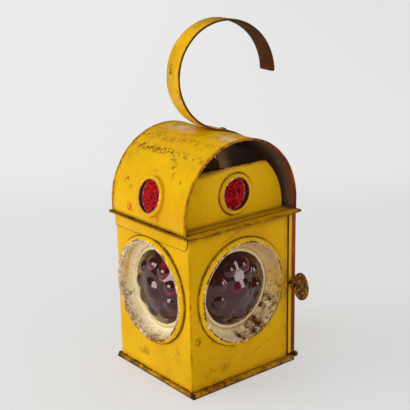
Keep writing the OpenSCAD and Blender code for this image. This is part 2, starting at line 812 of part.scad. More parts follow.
module hinge_leaves_body() {
    color(dark) for (z = hinge_zs) difference() {
        union() {
            difference() {
                block(-hw - leaf_t, hd - leaf_w, z, -hw, hd - 0.1, z + hinge_h);
                knuckle_room(z + knuckle_end, z + hinge_h - knuckle_end);
            }
            knuckle(z, z + knuckle_end);
            knuckle(z + hinge_h - knuckle_end, z + hinge_h);
        }
        translate([hinge_x, hinge_y, z - 1]) cylinder(h = hinge_h + 2, r = pin_r);
    }
}

module hinge_leaves_door() {
    color(dark) for (z = hinge_zs) difference() {
        union() {
            difference() {
                block(-hw - leaf_t, door_y0 + 0.1, z, -hw, door_y0 + leaf_w, z + hinge_h);
                knuckle_room(z - 1, z + knuckle_end + knuckle_fit);
                knuckle_room(z + hinge_h - knuckle_end - knuckle_fit, z + hinge_h + 1);
            }
            knuckle(z + knuckle_end + knuckle_fit, z + hinge_h - knuckle_end - knuckle_fit);
        }
        translate([hinge_x, hinge_y, z - 1]) cylinder(h = hinge_h + 2, r = pin_r + pin_clear);
    }
}

module hinge_pins() {
    color(rust) for (z = hinge_zs) translate([hinge_x, hinge_y, z]) {
        cylinder(h = hinge_h, r = pin_r);
        translate([0, 0, hinge_h]) cylinder(h = 1, r = pin_r * 1.6);
    }
}

module hinge_rivets() {
    color(rust) for (z = hinge_zs, t = [0.2, 0.8])
        translate([-hw - leaf_t, hd - leaf_w * 0.6, z + hinge_h * t]) rotate([0, -90, 0])
            cylinder(h = 0.6, r = 1.6);
}

// Thumb plate with its spindle through the door's side flange
module latch_wing() {
    shoulder_x = hw + 0.1;
    spindle_x = cam_x1 - cam_t - nut_t - 1;
    color(rust) union() {
        translate([0, latch_y + wing_t / 2, latch_z]) rotate([90, 0, 0]) linear_extrude(wing_t) union() {
            round_rect(wing_x0, -wing_root_h / 2, wing_x0 + wing_root + 4, wing_root_h / 2, 2);
            translate([wing_mid_x, 0]) rotate([0, 0, wing_lean])
                round_rect(-wing_w / 2, -wing_h / 2, wing_w / 2, wing_h / 2, wing_w / 2 - 0.5);
        }
        translate([shoulder_x, latch_y, latch_z]) rotate([0, 90, 0])
            cylinder(h = wing_x0 - shoulder_x + 1, r = 2 * spindle_r);
        translate([spindle_x, latch_y, latch_z]) rotate([0, 90, 0])
            cylinder(h = wing_x0 - spindle_x + 1, r = spindle_r);
    }
}

// Tongue on the spindle's inner end, points forward when free and down when locked
module latch_cam() {
    color(dark) difference() {
        union() {
            block(cam_x1 - cam_t, latch_y - cam_l, latch_z - cam_w / 2, cam_x1, latch_y, latch_z + cam_w / 2);
            translate([cam_x1 - cam_t, latch_y, latch_z]) rotate([0, 90, 0]) cylinder(h = cam_t, r = cam_eye);
        }
        translate([cam_x1 - cam_t - 1, latch_y, latch_z]) rotate([0, 90, 0])
            cylinder(h = cam_t + 2, r = spindle_r);
    }
}

module latch_nut() {
    color(dark) translate([cam_x1 - cam_t, latch_y, latch_z]) rotate([0, -90, 0]) difference() {
        cylinder(h = nut_t, r = cam_eye, $fn = 6);
        translate([0, 0, -1]) cylinder(h = nut_t + 2, r = spindle_r);
    }
}

// Three spring clips on the base that locate the tank
module fount_clips() {
    color(tin) for (a = [180, 270, 360]) rotate([0, 0, a]) {
        block(tank_r + 0.3, -clip_w / 2, sheet, tank_r + 0.3 + sheet, clip_w / 2, clip_h);
        block(tank_r + 0.3, -clip_w / 2, sheet, tank_r + 8, clip_w / 2, 2 * sheet);
    }
}

// Paraffin tank, open at its collar and filler holes
module fount_tank() {
    module outline(inset) {
        r = tank_r - inset;
        z0 = tank_z + inset;
        z1 = tank_top - inset;
        c = tank_round - inset;
        translate([0, z0]) square([r, z1 - z0 - c]);
        translate([0, z0]) square([r - c, z1 - z0]);
        intersection() {
            translate([r - c, z1 - c]) circle(c);
            translate([r - c, z1 - c]) square([c, c]);
        }
    }
    color(tin) difference() {
        union() {
            rotate_extrude() outline(0);
            translate([0, filler_y, tank_top - sheet]) cylinder(h = neck_h + sheet, r = neck_r);
        }
        rotate_extrude() outline(sheet);
        translate([0, 0, tank_top - 2 * sheet]) cylinder(h = 4 * sheet, r = collar_bore);
        translate([0, filler_y, tank_top - 2 * sheet]) cylinder(h = neck_h + 4 * sheet, r = neck_r - sheet);
    }
}

// Folded strap soldered to the tank, to draw it out through the door
module fount_pull() {
    pull_w = 12;
    z0 = tank_top - 24;
    seat_y = sqrt(tank_r * tank_r - pull_w * pull_w / 4);
    color(tin) difference() {
        union() {
            block(-pull_w / 2, seat_y - 1, z0, pull_w / 2, tank_r + 1.5, z0 + 14);
            block(-pull_w / 2, tank_r, z0, pull_w / 2, tank_r + 7, z0 + sheet);
            block(-pull_w / 2, tank_r + 7 - sheet, z0, pull_w / 2, tank_r + 7, z0 + 10);
        }
        cylinder(h = tank_top, r = tank_r);
    }
}

// Cork washer that lifts with the filler cap
module filler_washer() {
    color(cotton) translate([0, filler_y, tank_top + neck_h + washer_t + 0.05])
        washer(neck_r - 2 * sheet, neck_r + 0.2, washer_t);
}

module filler_cap() {
    z0 = tank_top + 0.4;
    top = tank_top + neck_h + washer_t + 0.1;
    color(brass) translate([0, filler_y, 0]) difference() {
        translate([0, 0, z0]) cylinder(h = cap_h, r = cap_r);
        translate([0, 0, z0 - 1]) cylinder(h = top - z0 + 1, r = neck_r + 0.3);
        for (i = [0:11]) rotate([0, 0, 30 * i]) translate([cap_r + 0.6, 0, z0 - 1])
            cylinder(h = cap_h + 2, r = 1.2);
    }
}

// Screwed collar between tank and burner
module burner_collar() {
    color(brass) translate([0, 0, tank_top]) difference() {
        union() {
            cylinder(h = collar_h, r = collar_r);
            cylinder(h = 1.5, r = collar_r + 1.5);
        }
        translate([0, 0, -1]) cylinder(h = collar_h + 2, r = collar_bore);
    }
}

module burner_cup() {
    color(brass) difference() {
        translate([0, 0, burner_z]) cylinder(h = burner_h, r = burner_r);
        translate([0, 0, burner_z + sheet]) cylinder(h = burner_h, r = burner_r - sheet);
        block(-tube_half_x, -tube_half_y, burner_z - sheet, tube_half_x, tube_half_y, burner_z + 2 * sheet);
        translate([winder_x, -burner_r - 1, winder_z]) rotate([-90, 0, 0])
            cylinder(h = 2 * burner_r + 2, r = winder_r + winder_clear);
        for (i = [0:11]) rotate([0, 0, 15 + 30 * i]) translate([burner_r - 2, 0, burner_z + 4])
            rotate([0, 90, 0]) cylinder(h = 4, r = 1.3);
    }
}

// Draught cone over the burner, slotted for the flame
module burner_cone() {
    color(brass) translate([0, 0, burner_top]) difference() {
        cylinder(h = cone_h, r1 = burner_r, r2 = cone_top_r);
        translate([0, 0, -0.01]) cylinder(h = cone_h - sheet, r1 = burner_r - sheet, r2 = cone_top_r - sheet);
        block(-tube_half_x - cone_slot, -tube_half_y, -cone_h,
              tube_half_x + cone_slot, tube_half_y, 2 * cone_h);
    }
}

module wick_tube() {
    ix = tube_half_x - tube_t;
    iy = tube_half_y - tube_t;
    wheel_room = wheel_r + 0.5;
    color(brass) difference() {
        block(-tube_half_x, -tube_half_y, tube_z0, tube_half_x, tube_half_y, tube_z1);
        block(-ix, -iy, tube_z0 - 1, ix, iy, tube_z1 + 1);
        block(0, -wheel_gap, winder_z - wheel_room, tube_half_x + 1, wheel_gap, winder_z + wheel_room);
    }
}

module wick() {
    color(cotton) block(-wick_t / 2, -wick_w / 2, tank_z + wick_foot,
                        wick_t / 2, wick_w / 2, tube_z1 + wick_up);
}

module winder_spindle() {
    tail = burner_r + 1.5;
    color(tin) translate([winder_x, -tail, winder_z]) rotate([-90, 0, 0])
        cylinder(h = winder_reach + tail, r = winder_r);
}

// Toothed wheels that drive the wick
module winder_wheels() {
    spread = wheel_gap - wheel_w / 2 - 0.5;
    color(brass) for (y = [-spread, spread])
        translate([winder_x, y - wheel_w / 2, winder_z]) rotate([-90, 0, 0]) difference() {
        cylinder(h = wheel_w, r = wheel_r);
        translate([0, 0, -1]) cylinder(h = wheel_w + 2, r = winder_r);
        for (i = [0:7]) rotate([0, 0, 45 * i]) translate([wheel_r + 0.3, 0, -1])
            cylinder(h = wheel_w + 2, r = 0.8);
    }
}

module winder_knob() {
    color(brass) translate([winder_x, winder_reach, winder_z]) rotate([-90, 0, 0]) difference() {
        cylinder(h = winder_knob_h, r = winder_knob_r);
        translate([0, 0, -1]) cylinder(h = winder_knob_h - 1, r = winder_r);
        for (i = [0:15]) rotate([0, 0, 22.5 * i]) translate([winder_knob_r + 0.4, 0, -1])
            cylinder(h = winder_knob_h + 2, r = 0.9);
    }
}

base_tray();
body_shell();
rear_frame();
front_skirt();
seam_ledge();
hood_shell();
end_panel_right();
end_panel_left();
chimney_tube();
heat_baffle();
hook_strap();
hook_backing();
hook_rivets();
bezel_front();
bezel_right();
bezel_left();
lens_front();
lens_right();
lens_left();
gasket_front();
gasket_right();
gasket_left();
retainer_front();
retainer_right();
retainer_left();
reflector_ring_front();
reflector_ring_right();
reflector_ring_left();
reflector_glass_front();
reflector_glass_right();
reflector_glass_left();
reflector_backs();
door_pan();
door_edge_wire();
door_wind_baffle();
hinge_leaves_body();
hinge_leaves_door();
hinge_pins();
hinge_rivets();
latch_wing();
latch_cam();
latch_nut();
fount_clips();
fount_tank();
fount_pull();
filler_washer();
filler_cap();
burner_collar();
burner_cup();
burner_cone();
wick_tube();
wick();
winder_spindle();
winder_wheels();
winder_knob();
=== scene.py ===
"""Dresses a square road-works warning lamp: finished sheet metal, glass, hook, worn paint and stage."""

import math

import bmesh
import bpy
from bpy.props import FloatProperty, FloatVectorProperty, PointerProperty
from mathutils import Matrix, Vector, noise


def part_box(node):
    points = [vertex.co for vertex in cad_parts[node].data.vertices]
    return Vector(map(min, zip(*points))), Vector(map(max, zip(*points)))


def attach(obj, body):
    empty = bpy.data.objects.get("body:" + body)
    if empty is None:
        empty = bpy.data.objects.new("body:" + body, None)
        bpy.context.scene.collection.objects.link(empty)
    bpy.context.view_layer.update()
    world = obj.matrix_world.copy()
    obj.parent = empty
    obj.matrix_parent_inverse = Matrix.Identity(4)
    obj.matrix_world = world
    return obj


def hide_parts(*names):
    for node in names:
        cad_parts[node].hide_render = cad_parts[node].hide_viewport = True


bl_info = {
    "name": "Road Lamp",
    "version": (1, 0, 0),
    "blender": (4, 5, 0),
    "location": "View3D > Sidebar > Road Lamp",
    "description": "Builds a square warning lamp with bull's-eye lenses, a barrel hood and a strip hook",
    "category": "Object",
}

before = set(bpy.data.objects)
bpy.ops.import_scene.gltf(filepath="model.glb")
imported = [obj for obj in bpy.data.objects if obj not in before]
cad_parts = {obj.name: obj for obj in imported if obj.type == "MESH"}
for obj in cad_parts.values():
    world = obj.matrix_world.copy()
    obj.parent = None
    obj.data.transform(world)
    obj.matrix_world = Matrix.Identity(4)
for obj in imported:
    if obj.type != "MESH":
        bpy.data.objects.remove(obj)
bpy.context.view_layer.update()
MM = 0.001


def node_box(node):
    """Lowest and highest corner of a frame node, in millimetres."""
    low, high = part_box(node)
    return low / MM, high / MM


SIDES = ("front", "right", "left")
ENDS = (("right", 1), ("left", -1))
LENS_BUMPS = 9
# how far each lens is turned on its axis, in degrees
LENS_TURNS = {"front": 17, "right": -4, "left": -4}
# edges sharper than this many degrees stay sharp
CREASE = 38.0

# Places read from the frame, in millimetres
BODY_LOW, BODY_HIGH = node_box("body_shell")
LEDGE_LOW, LEDGE_HIGH = node_box("seam_ledge")
HOOD_LOW, HOOD_HIGH = node_box("hood_shell")
SKIRT_LOW, SKIRT_HIGH = node_box("front_skirt")
PANEL_LOW, PANEL_HIGH = node_box("end_panel_right")
DOOR_LOW, DOOR_HIGH = node_box("door_pan")
HALF_WIDTH = BODY_HIGH.x
FRONT_Y = BODY_LOW.y
HOOD_R = (HOOD_HIGH.y - HOOD_LOW.y) / 2
HOOD_Y = (HOOD_HIGH.y + HOOD_LOW.y) / 2
HOOD_Z = HOOD_HIGH.z - HOOD_R
LEDGE_TOP = LEDGE_HIGH.z
# an end panel's face stands in from the outer edge of its foot flange by the flange's width
PANEL_FLANGE = 9.0
PANEL_FACE_X = PANEL_HIGH.x - PANEL_FLANGE


def lens_centre(side):
    """Middle of a lens across the face and above the floor, in millimetres."""
    low, high = node_box("lens_" + side)
    middle = (low + high) / 2
    across = middle.x if side == "front" else middle.y
    return across, middle.z


# ---------------------------------------------------------------- sizes and colours


def millimetres(name, description, default):
    """A length that the sidebar shows, kept in metres."""
    return FloatProperty(name=name, description=description, default=default * MM, unit="LENGTH", precision=4)


def paint_colour(name, description, default):
    """A colour written as screen values from 0 to 255."""
    return FloatVectorProperty(name=name, description=description, default=[linear(c) for c in default],
                               subtype="COLOR", min=0, max=1)


def linear(level):
    """Screen level 0 to 255 as a linear colour value."""
    c = level / 255
    return c / 12.92 if c <= 0.04045 else ((c + 0.055) / 1.055) ** 2.4


class RoadLampSizes(bpy.types.PropertyGroup):
    """Sizes of the finished sheet metal and glass."""

    sheet: millimetres("Sheet", "Thickness of the sheet metal", 1.0)
    corner: millimetres("Fold radius", "Outer radius of the body's upright folds", 1.8)
    rim_roll: millimetres("Rim roll", "Radius of the rolled rims of the hood", 1.3)
    dent: millimetres("Unevenness", "How far the old sheet metal waves in and out", 0.35)
    bezel_radius: millimetres("Bezel radius", "Outer radius of the dished bezels", 58.3)
    crest_radius: millimetres("Crest radius", "Radius of the bezels' crest", 52.6)
    crest_height: millimetres("Crest height", "Height of the bezels' crest above the face", 5.0)
    dish_radius: millimetres("Dish floor radius", "Radius where the dish wall meets its flat ring", 44.5)
    dish_depth: millimetres("Dish depth", "Depth of the flat ring below the face", 11.3)
    lens_opening: millimetres("Lens opening", "Clear radius through the bezel", 39.7)
    dome_radius: millimetres("Dome radius", "Radius of the lens dome", 68.0)
    eye_radius: millimetres("Eye curvature", "Radius of curvature of the middle bull's-eye", 24.0)
    eye_height: millimetres("Eye height", "Height of the middle bull's-eye above the dome", 2.6)
    bump_radius: millimetres("Bump curvature", "Radius of curvature of the bumps round it", 11.5)
    bump_height: millimetres("Bump height", "Height of the bumps above the dome", 2.4)
    bump_pitch: millimetres("Bump pitch", "Distance of the bumps from the middle", 28.5)
    strap_width: millimetres("Strap width", "Width of the hook's strap", 26.0)
    strap_thickness: millimetres("Strap thickness", "Thickness of the hook's strap", 2.2)
    hook_radius: millimetres("Hook radius", "Outer radius of the hook's loop", 57.5)
    ring_radius: millimetres("Ring radius", "Outer radius of the reflector rings", 21.2)
    glass_radius: millimetres("Reflector glass", "Radius of the reflector glass", 17.6)
    facet: millimetres("Facet", "Width of one prism in the reflector glass", 2.3)


class RoadLampColours(bpy.types.PropertyGroup):
    """Colours of the paint, rust, glass and stage."""

    yellow: paint_colour("Road yellow", "Fresh gloss paint", (238, 184, 4))
    ochre: paint_colour("Old yellow", "Faded, grimy paint", (196, 136, 6))
    grime: paint_colour("Grime", "Dirt in the paint and along the seams", (104, 70, 14))
    rust: paint_colour("Rust", "Bare steel, rusted brown", (84, 46, 20))
    dark: paint_colour("Dark steel", "Deep brown steel in the folds", (60, 36, 18))
    primer: paint_colour("Primer", "Red-oxide primer under the paint", (188, 74, 40))
    cream: paint_colour("Cream", "Cream paint inside the bezels", (255, 236, 190))
    beige: paint_colour("Beige", "Old stained cream paint", (204, 154, 84))
    umber: paint_colour("Umber", "Orange-brown rust stain", (150, 92, 32))
    # painted highlight: pale patches on the hood's crown that stand for a reflection of the room's light
    crown_highlight: paint_colour("Crown highlight", "Pale painted highlight on the hood's crown", (232, 212, 170))
    ruby: paint_colour("Ruby glass", "Deep red pressed glass", (58, 16, 16))
    glint: paint_colour("Ruby glint", "Light caught inside the ruby glass", (168, 12, 44))
    scarlet: paint_colour("Reflector red", "Bright red prisms", (196, 8, 16))
    silver: paint_colour("Silver", "Mottled silver rim of the reflectors", (188, 182, 168))
    brass: paint_colour("Brass", "Aged burner brass", (166, 126, 62))
    tin: paint_colour("Tin", "Dull tinned steel", (142, 140, 132))
    cotton: paint_colour("Cotton", "Flat cotton wick and cord", (206, 196, 170))
    soot: paint_colour("Sooty lining", "Brown soot inside the hood", (112, 90, 70))
    floor: paint_colour("Floor", "Pale studio floor", (240, 239, 236))
    backdrop_left: paint_colour("Backdrop left", "Backdrop on the lighter side", (234, 235, 235))
    backdrop_right: paint_colour("Backdrop right", "Backdrop on the darker side", (227, 227, 226))


# ---------------------------------------------------------------- materials

# what the waxy old paint and the coloured glass mirror, as linear colour
WARM_SHEEN = (1.0, 0.72, 0.12)
RED_SHEEN = (1.0, 0.74, 0.72)
DEEP_RED_SHEEN = (1.0, 0.1, 0.1)
# tones that no paint in the sidebar has, as linear colour
SCUFF_RED = (0.75, 0.1, 0.0)
DEEP_PRIMER = (0.16, 0.012, 0.02)
DARK_RUBY = (0.012, 0.002, 0.003)
RUBY_RIM = (0.02, 0.003, 0.004)
# painted shade on some prisms, painted highlights on others, and the painted shadow crescent in each
# reflector's recess
SHADED_PRISM = (0.1, 0.0, 0.004)
PRISM_HIGHLIGHT = (0.9, 0.02, 0.03)
PRISM_SHADE = (0.03, 0.006, 0.008)
CHAR = (0.01, 0.009, 0.008)
CORK = (0.42, 0.26, 0.13)


def join(tree, value, socket):
    """Puts a value on a socket, or links a field or another node's output to it."""
    value = getattr(value, "socket", value)
    if isinstance(value, bpy.types.NodeSocket):
        tree.links.new(value, socket)
    else:
        socket.default_value = value


def add_node(tree, kind, inputs=None, **settings):
    """A shader node with its settings, and a value, field or output joined to each input named."""
    node = tree.nodes.new("ShaderNode" + kind)
    for name, value in settings.items():
        setattr(node, name, value)
    for socket, value in (inputs or {}).items():
        join(tree, value, node.inputs[socket])
    return node


class Field:
    """A number or colour that a material works out at each point, written with ordinary arithmetic."""

    def __init__(self, finish, socket):
        self.finish = finish
        self.socket = socket

    def __add__(self, other):
        return self.finish.math("ADD", self, other)

    def __sub__(self, other):
        return self.finish.math("SUBTRACT", self, other)

    def __rsub__(self, other):
        return self.finish.math("SUBTRACT", other, self)

    def __mul__(self, other):
        return self.finish.math("MULTIPLY", self, other)

    def __truediv__(self, other):
        return self.finish.math("DIVIDE", self, other)

    __radd__ = __add__
    __rmul__ = __mul__

    def size(self):
        return self.finish.math("ABSOLUTE", self)

    def least(self, other):
        return self.finish.math("MINIMUM", self, other)

    def most(self, other):
        return self.finish.math("MAXIMUM", self, other)

    def rise(self, low, high):
        """0 below low, 1 above high, smooth between. With low above high it falls instead."""
        if low > high:
            return 1 - self.rise(high, low)
        node = self.finish.add("MapRange", {"From Min": low, "From Max": high, "Value": self},
                               interpolation_type="SMOOTHSTEP")
        return Field(self.finish, node.outputs["Result"])

    def near(self, value, reach, full):
        """1 where the field is within full of value, falling to 0 at reach."""
        return (self - value).size().rise(reach, full)


class Finish:
    """Builds the nodes of one material. Its patterns work in millimetres of the lamp's own frame.

    tone is the colour laid on so far, and bare is where the paint has gone from the steel.
    """

    def __init__(self, name, tone, roughness=0.5, metallic=0.0, specular=0.5, coat=0.0, coat_roughness=0.1,
                 tint=(1.0, 1.0, 1.0)):
        self.tone = tone
        self.bare = None
        self.material = bpy.data.materials.new(name)
        self.material.use_nodes = True
        self.tree = self.material.node_tree
        self.shader = self.tree.nodes["Principled BSDF"]
        for socket, value in {"Roughness": roughness, "Metallic": metallic, "Specular IOR Level": specular,
                              "Specular Tint": (*tint, 1.0), "Coat Weight": coat,
                              "Coat Roughness": coat_roughness}.items():
            self.shader.inputs[socket].default_value = value
        metres = self.add("TexCoord").outputs["Object"]
        place = self.add("VectorMath", {0: metres, "Scale": 1 / MM}, operation="SCALE")
        self.place = place.outputs["Vector"]
        parts = self.add("SeparateXYZ", {0: self.place})
        self.x, self.y, self.z = (Field(self, parts.outputs[axis]) for axis in "XYZ")

    def add(self, kind, inputs=None, **settings):
        return add_node(self.tree, kind, inputs, **settings)

    def link(self, value, socket):
        join(self.tree, value, socket)

    def math(self, operation, *values):
        return Field(self, self.add("Math", dict(enumerate(values)), operation=operation).outputs[0])

    def noise(self, grain, detail, stretch=(1, 1, 1), shift=0.0, roughness=0.55):
        """Cloudy noise whose lumps are about grain millimetres across."""
        mapping = self.add("Mapping", {"Scale": stretch, "Location": (shift, shift * 0.7, shift * 1.3),
                                       "Vector": self.place})
        node = self.add("TexNoise", {"Scale": 1 / grain, "Detail": detail, "Roughness": roughness,
                                     "Vector": mapping.outputs["Vector"]})
        return Field(self, node.outputs["Fac"])

    def cloud(self, grain, detail, low, high, shift=0.0, **more):
        """Noise as patches: 0 where it is below low, 1 where it is above high."""
        return self.noise(grain, detail, shift=shift, **more).rise(low, high)

    def cells(self, grain, output="Distance", randomness=1.0):
        """Cell pattern with cells about grain millimetres across."""
        node = self.add("TexVoronoi", {"Scale": 1 / grain, "Randomness": randomness, "Vector": self.place})
        return Field(self, node.outputs[output])

    def far(self, across, up):
        """Distance from where both fields are 0."""
        return self.math("SQRT", across * across + up * up)

    def ring(self, side):
        """Distance from the axis of the bezel or lens on that side, and how far along the face and up."""
        across, height = lens_centre(side)
        along, up = (self.x if side == "front" else self.y) - across, self.z - height
        return self.far(along, up), along, up

    def spot(self, centre, reach):
        """1 at a place, falling to 0 at reach millimetres along each axis."""
        a, b, c = ((field - middle) / length for field, middle, length
                   in zip((self.x, self.y, self.z), centre, reach))
        return (a * a + b * b + c * c).rise(1.0, 0.0)

    def blend(self, amount, under, over):
        """Colour over laid on colour under by amount."""
        under, over = (colour if isinstance(colour, Field) else (*colour, 1.0) for colour in (under, over))
        node = self.add("Mix", {"Factor": amount, 6: under, 7: over}, data_type="RGBA")
        return Field(self, node.outputs[2])

    def lay(self, amount, over):
        """Lays a colour over the tone by amount."""
        self.tone = self.blend(amount, self.tone, over)

    def wear(self, amount, over):
        """Lays a colour where the paint has gone."""
        self.lay(amount, over)
        self.bare = self.bare.most(amount)

    def chips(self, distance, reach, grain=3.0, amount=0.5, shift=0.0):
        """Chipped patches that crowd where distance is near 0 and end at reach."""
        ragged = (self.noise(grain, 6, shift=shift, roughness=0.65) * 0.6
                  + self.noise(grain * 4, 3, shift=shift + 9) * 0.4)
        edge = 0.36 + (1 - amount) * 0.16
        return (ragged - distance / reach * 0.26).rise(edge, edge + 0.03)

    def done(self, height, depth, rough=None):
        """The material, with a bump of depth millimetres where height runs from 0 to 1."""
        bump = self.add("Bump", {"Distance": depth * MM, "Height": height})
        made = {"Base Color": self.tone, "Roughness": rough, "Normal": bump.outputs["Normal"]}
        for socket, value in made.items():
            if value is not None:
                self.link(value, self.shader.inputs[socket])
        return self.material


def colours():
    return bpy.context.scene.road_lamp_colours


def sizes():
    return bpy.context.scene.road_lamp_sizes


def mm(*names):
    """Sizes from the sidebar in millimetres."""
    values = [getattr(sizes(), name) / MM for name in names]
    return values if len(names) > 1 else values[0]


def worn_paint(name, edge=None, extra=None, reach=4.0, amount=0.5, age=0.35, grime=0.4, shift=0.0):
    """Old gloss yellow: faded in clouds, grimy, speckled and chipped to rust along its edges.

    edge gives the distance from the piece's edges, and extra lays on what only that piece has.
    """
    c = colours()
    m = Finish(name, c.yellow, specular=0.11, tint=WARM_SHEEN)
    clouds = m.noise(58, 4, shift=shift)
    m.lay(clouds.rise(0.36, 0.72) * age, c.ochre)
    m.lay(m.cloud(26, 6, 0.54, 0.78, shift + 3, stretch=(1, 1, 0.35)) * grime * 0.55, c.grime)
    m.lay(m.cloud(3.5, 6, 0.45, 0.75, shift + 4, roughness=0.7) * 0.22, c.ochre)
    m.lay(m.cloud(7, 5, 0.6, 0.78, shift + 5) * 0.22, c.grime)
    flecks = m.cloud(1.5, 2, 0.72, 0.76, shift + 7) * m.cloud(22, 2, 0.5, 0.62, shift + 8)
    m.lay(flecks * 0.8, c.rust)
    m.bare = flecks * 0.5
    if edge:
        distance = edge(m)
        m.lay(distance.rise(reach * 1.6, 0.0) * m.cloud(9, 4, 0.3, 0.7, shift + 11) * 0.55, c.grime)
        fringe = m.chips(distance, reach * 1.15, amount=min(1.0, amount + 0.12), shift=shift)
        m.lay(fringe * 0.8, m.blend(m.cloud(13, 2, 0.5, 0.66, shift + 19), c.ochre, c.primer))
        worn = m.chips(distance, reach, amount=amount, shift=shift)
        m.wear(worn, m.blend(m.cloud(4, 4, 0.25, 0.5, shift + 13), c.dark, c.rust))
    if extra:
        extra(m, c)
    waves = m.noise(5, 3, shift=shift + 15) * 0.25 + m.noise(40, 2, shift=shift + 17)
    return m.done(waves - m.bare * 0.6, 0.25, 0.36 + m.bare * 0.4 + clouds * 0.12)


def rusty_steel(name, paint_left=0.0, shift=0.0, light=0.0):
    """Brown rusted steel, with flecks of old yellow paint where paint_left is above 0."""
    c = colours()
    m = Finish(name, c.dark, roughness=0.75, specular=0.3)
    m.lay(m.cloud(6, 5, 0.35, 0.65, shift), c.rust)
    m.lay(m.cloud(2.2, 4, 0.5, 0.72, shift + 4) * (0.35 + light), c.primer)
    if paint_left:
        level = 0.62 - paint_left * 0.2
        m.lay(m.cloud(2.4, 6, level, level + 0.04, shift + 8, roughness=0.7) * 0.9, c.ochre)
    return m.done(m.noise(1.6, 4, shift=shift + 2) + m.noise(7, 2, shift=shift), 0.35)


def plain_metal(name, colour, roughness=0.4, metallic=1.0, stain=0.5, shift=0.0):
    """Bare metal dulled by stains and fine scratches."""
    c = colours()
    m = Finish(name, colour, metallic=metallic)
    m.lay(m.cloud(14, 5, 0.42, 0.72, shift) * stain, c.grime)
    m.lay(m.cloud(3, 5, 0.6, 0.72, shift + 3) * stain * 0.7, c.dark)
    scratches = m.noise(1.2, 3, stretch=(1, 1, 0.2), shift=shift)
    return m.done(scratches, 0.06, roughness + m.noise(9, 4, shift=shift + 5) * 0.3)


def hood_paint():
    """Hood yellow: rusted rims, rows of chips over the crown, pale patches of painted highlight on it, brown
    inside.
    """

    def edge(m):
        return (HALF_WIDTH - m.x.size()) * (1 - m.x.rise(10, -10) * 0.5)

    def extra(m, c):
        back, up = m.y - HOOD_Y, m.z - HOOD_Z
        climb = m.math("ARCTAN2", up, back * -1) * (180 / math.pi)
        # two rows of chips across the crown, at heights in degrees up the arc
        for height, spread, strength in ((66.0, 7.0, 0.5), (52.0, 5.5, 0.66)):
            row = ((climb - height) / spread).size().rise(1.0, 0.25)
            toward_left = m.x.rise(70, -50) * 0.5 + 0.5
            marks = m.cloud(3.6, 6, 0.51, 0.55, height, stretch=(1.5, 0.8, 0.8))
            marks = marks * row * toward_left * m.cloud(11, 2, 0.42, 0.5, height + 2)
            m.lay(marks * (strength * 1.5), m.blend(m.cloud(8, 2, 0.4, 0.6, height), c.umber, c.rust))
            m.bare = m.bare.most(marks)
        # rusty spots, pale patches of painted highlight on the crown, and scuffs low on the front
        for centre, reach in (((24, -51, 233), (5, 6, 5)), ((18, -47, 237.5), (7, 4, 4)),
                              ((-40, -65, 210), (5, 4, 5)), ((30, -58, 224), (2.5, 6, 9)),
                              ((-31, -69, 205), (4, 4, 4)), ((44, -60, 222), (3, 5, 4))):
            m.lay(m.spot(centre, reach) * m.cloud(2.6, 5, 0.5, 0.56, centre[2]) * 0.9, c.rust)
        for centre, reach in (((-22, -4, 258), (32, 12, 6)), ((50, -3, 258), (15, 12, 6))):
            m.lay(m.spot(centre, reach) * m.cloud(16, 3, 0.25, 0.6, centre[0]) * 0.8, c.crown_highlight)
        for centre, reach in (((-29.5, -70, 183), (7, 5, 8)), ((-10, -70, 182.5), (5, 5, 3.5)),
                              ((19.5, -70, 181), (4.5, 5, 4))):
            m.lay(m.spot(centre, reach) * m.cloud(3.2, 7, 0.46, 0.52, centre[0] + 2, roughness=0.75),
                  m.blend(0.45, c.primer, SCUFF_RED))
        # a dirty crown, and rust and dirt along the foot
        crown = climb.rise(48, 80) * m.cloud(7, 5, 0.42, 0.66, 37, stretch=(0.6, 1, 1))
        m.lay(crown * 0.35, m.blend(0.5, c.grime, c.ochre))
        sole = m.z - LEDGE_TOP
        m.lay(m.chips(sole, 3.5, shift=31), c.rust)
        m.lay(sole.rise(5.0, 0.0) * 0.5, c.grime)
        # the lining, brown with soot, redder behind the right rim
        inside = m.far(back, up).rise(HOOD_R - 0.35, HOOD_R - 0.7) * up.rise(-1.5, -0.5)
        inside = inside.most(back.size().rise(HOOD_R - 0.35, HOOD_R - 0.7) * up.rise(1.5, 0.5))
        hem = m.x.rise(HALF_WIDTH - 12, HALF_WIDTH - 1) * m.y.rise(6, 60)
        soot = m.blend(m.cloud(40, 4, 0.3, 0.7, 35) * 0.4, c.soot, c.rust)
        m.wear(inside, m.blend(hem * 0.8, soot, m.blend(0.55, c.primer, c.rust)))

    return worn_paint("hood paint", edge, extra, reach=3.2, amount=0.62, age=0.45, grime=0.45, shift=2.0)


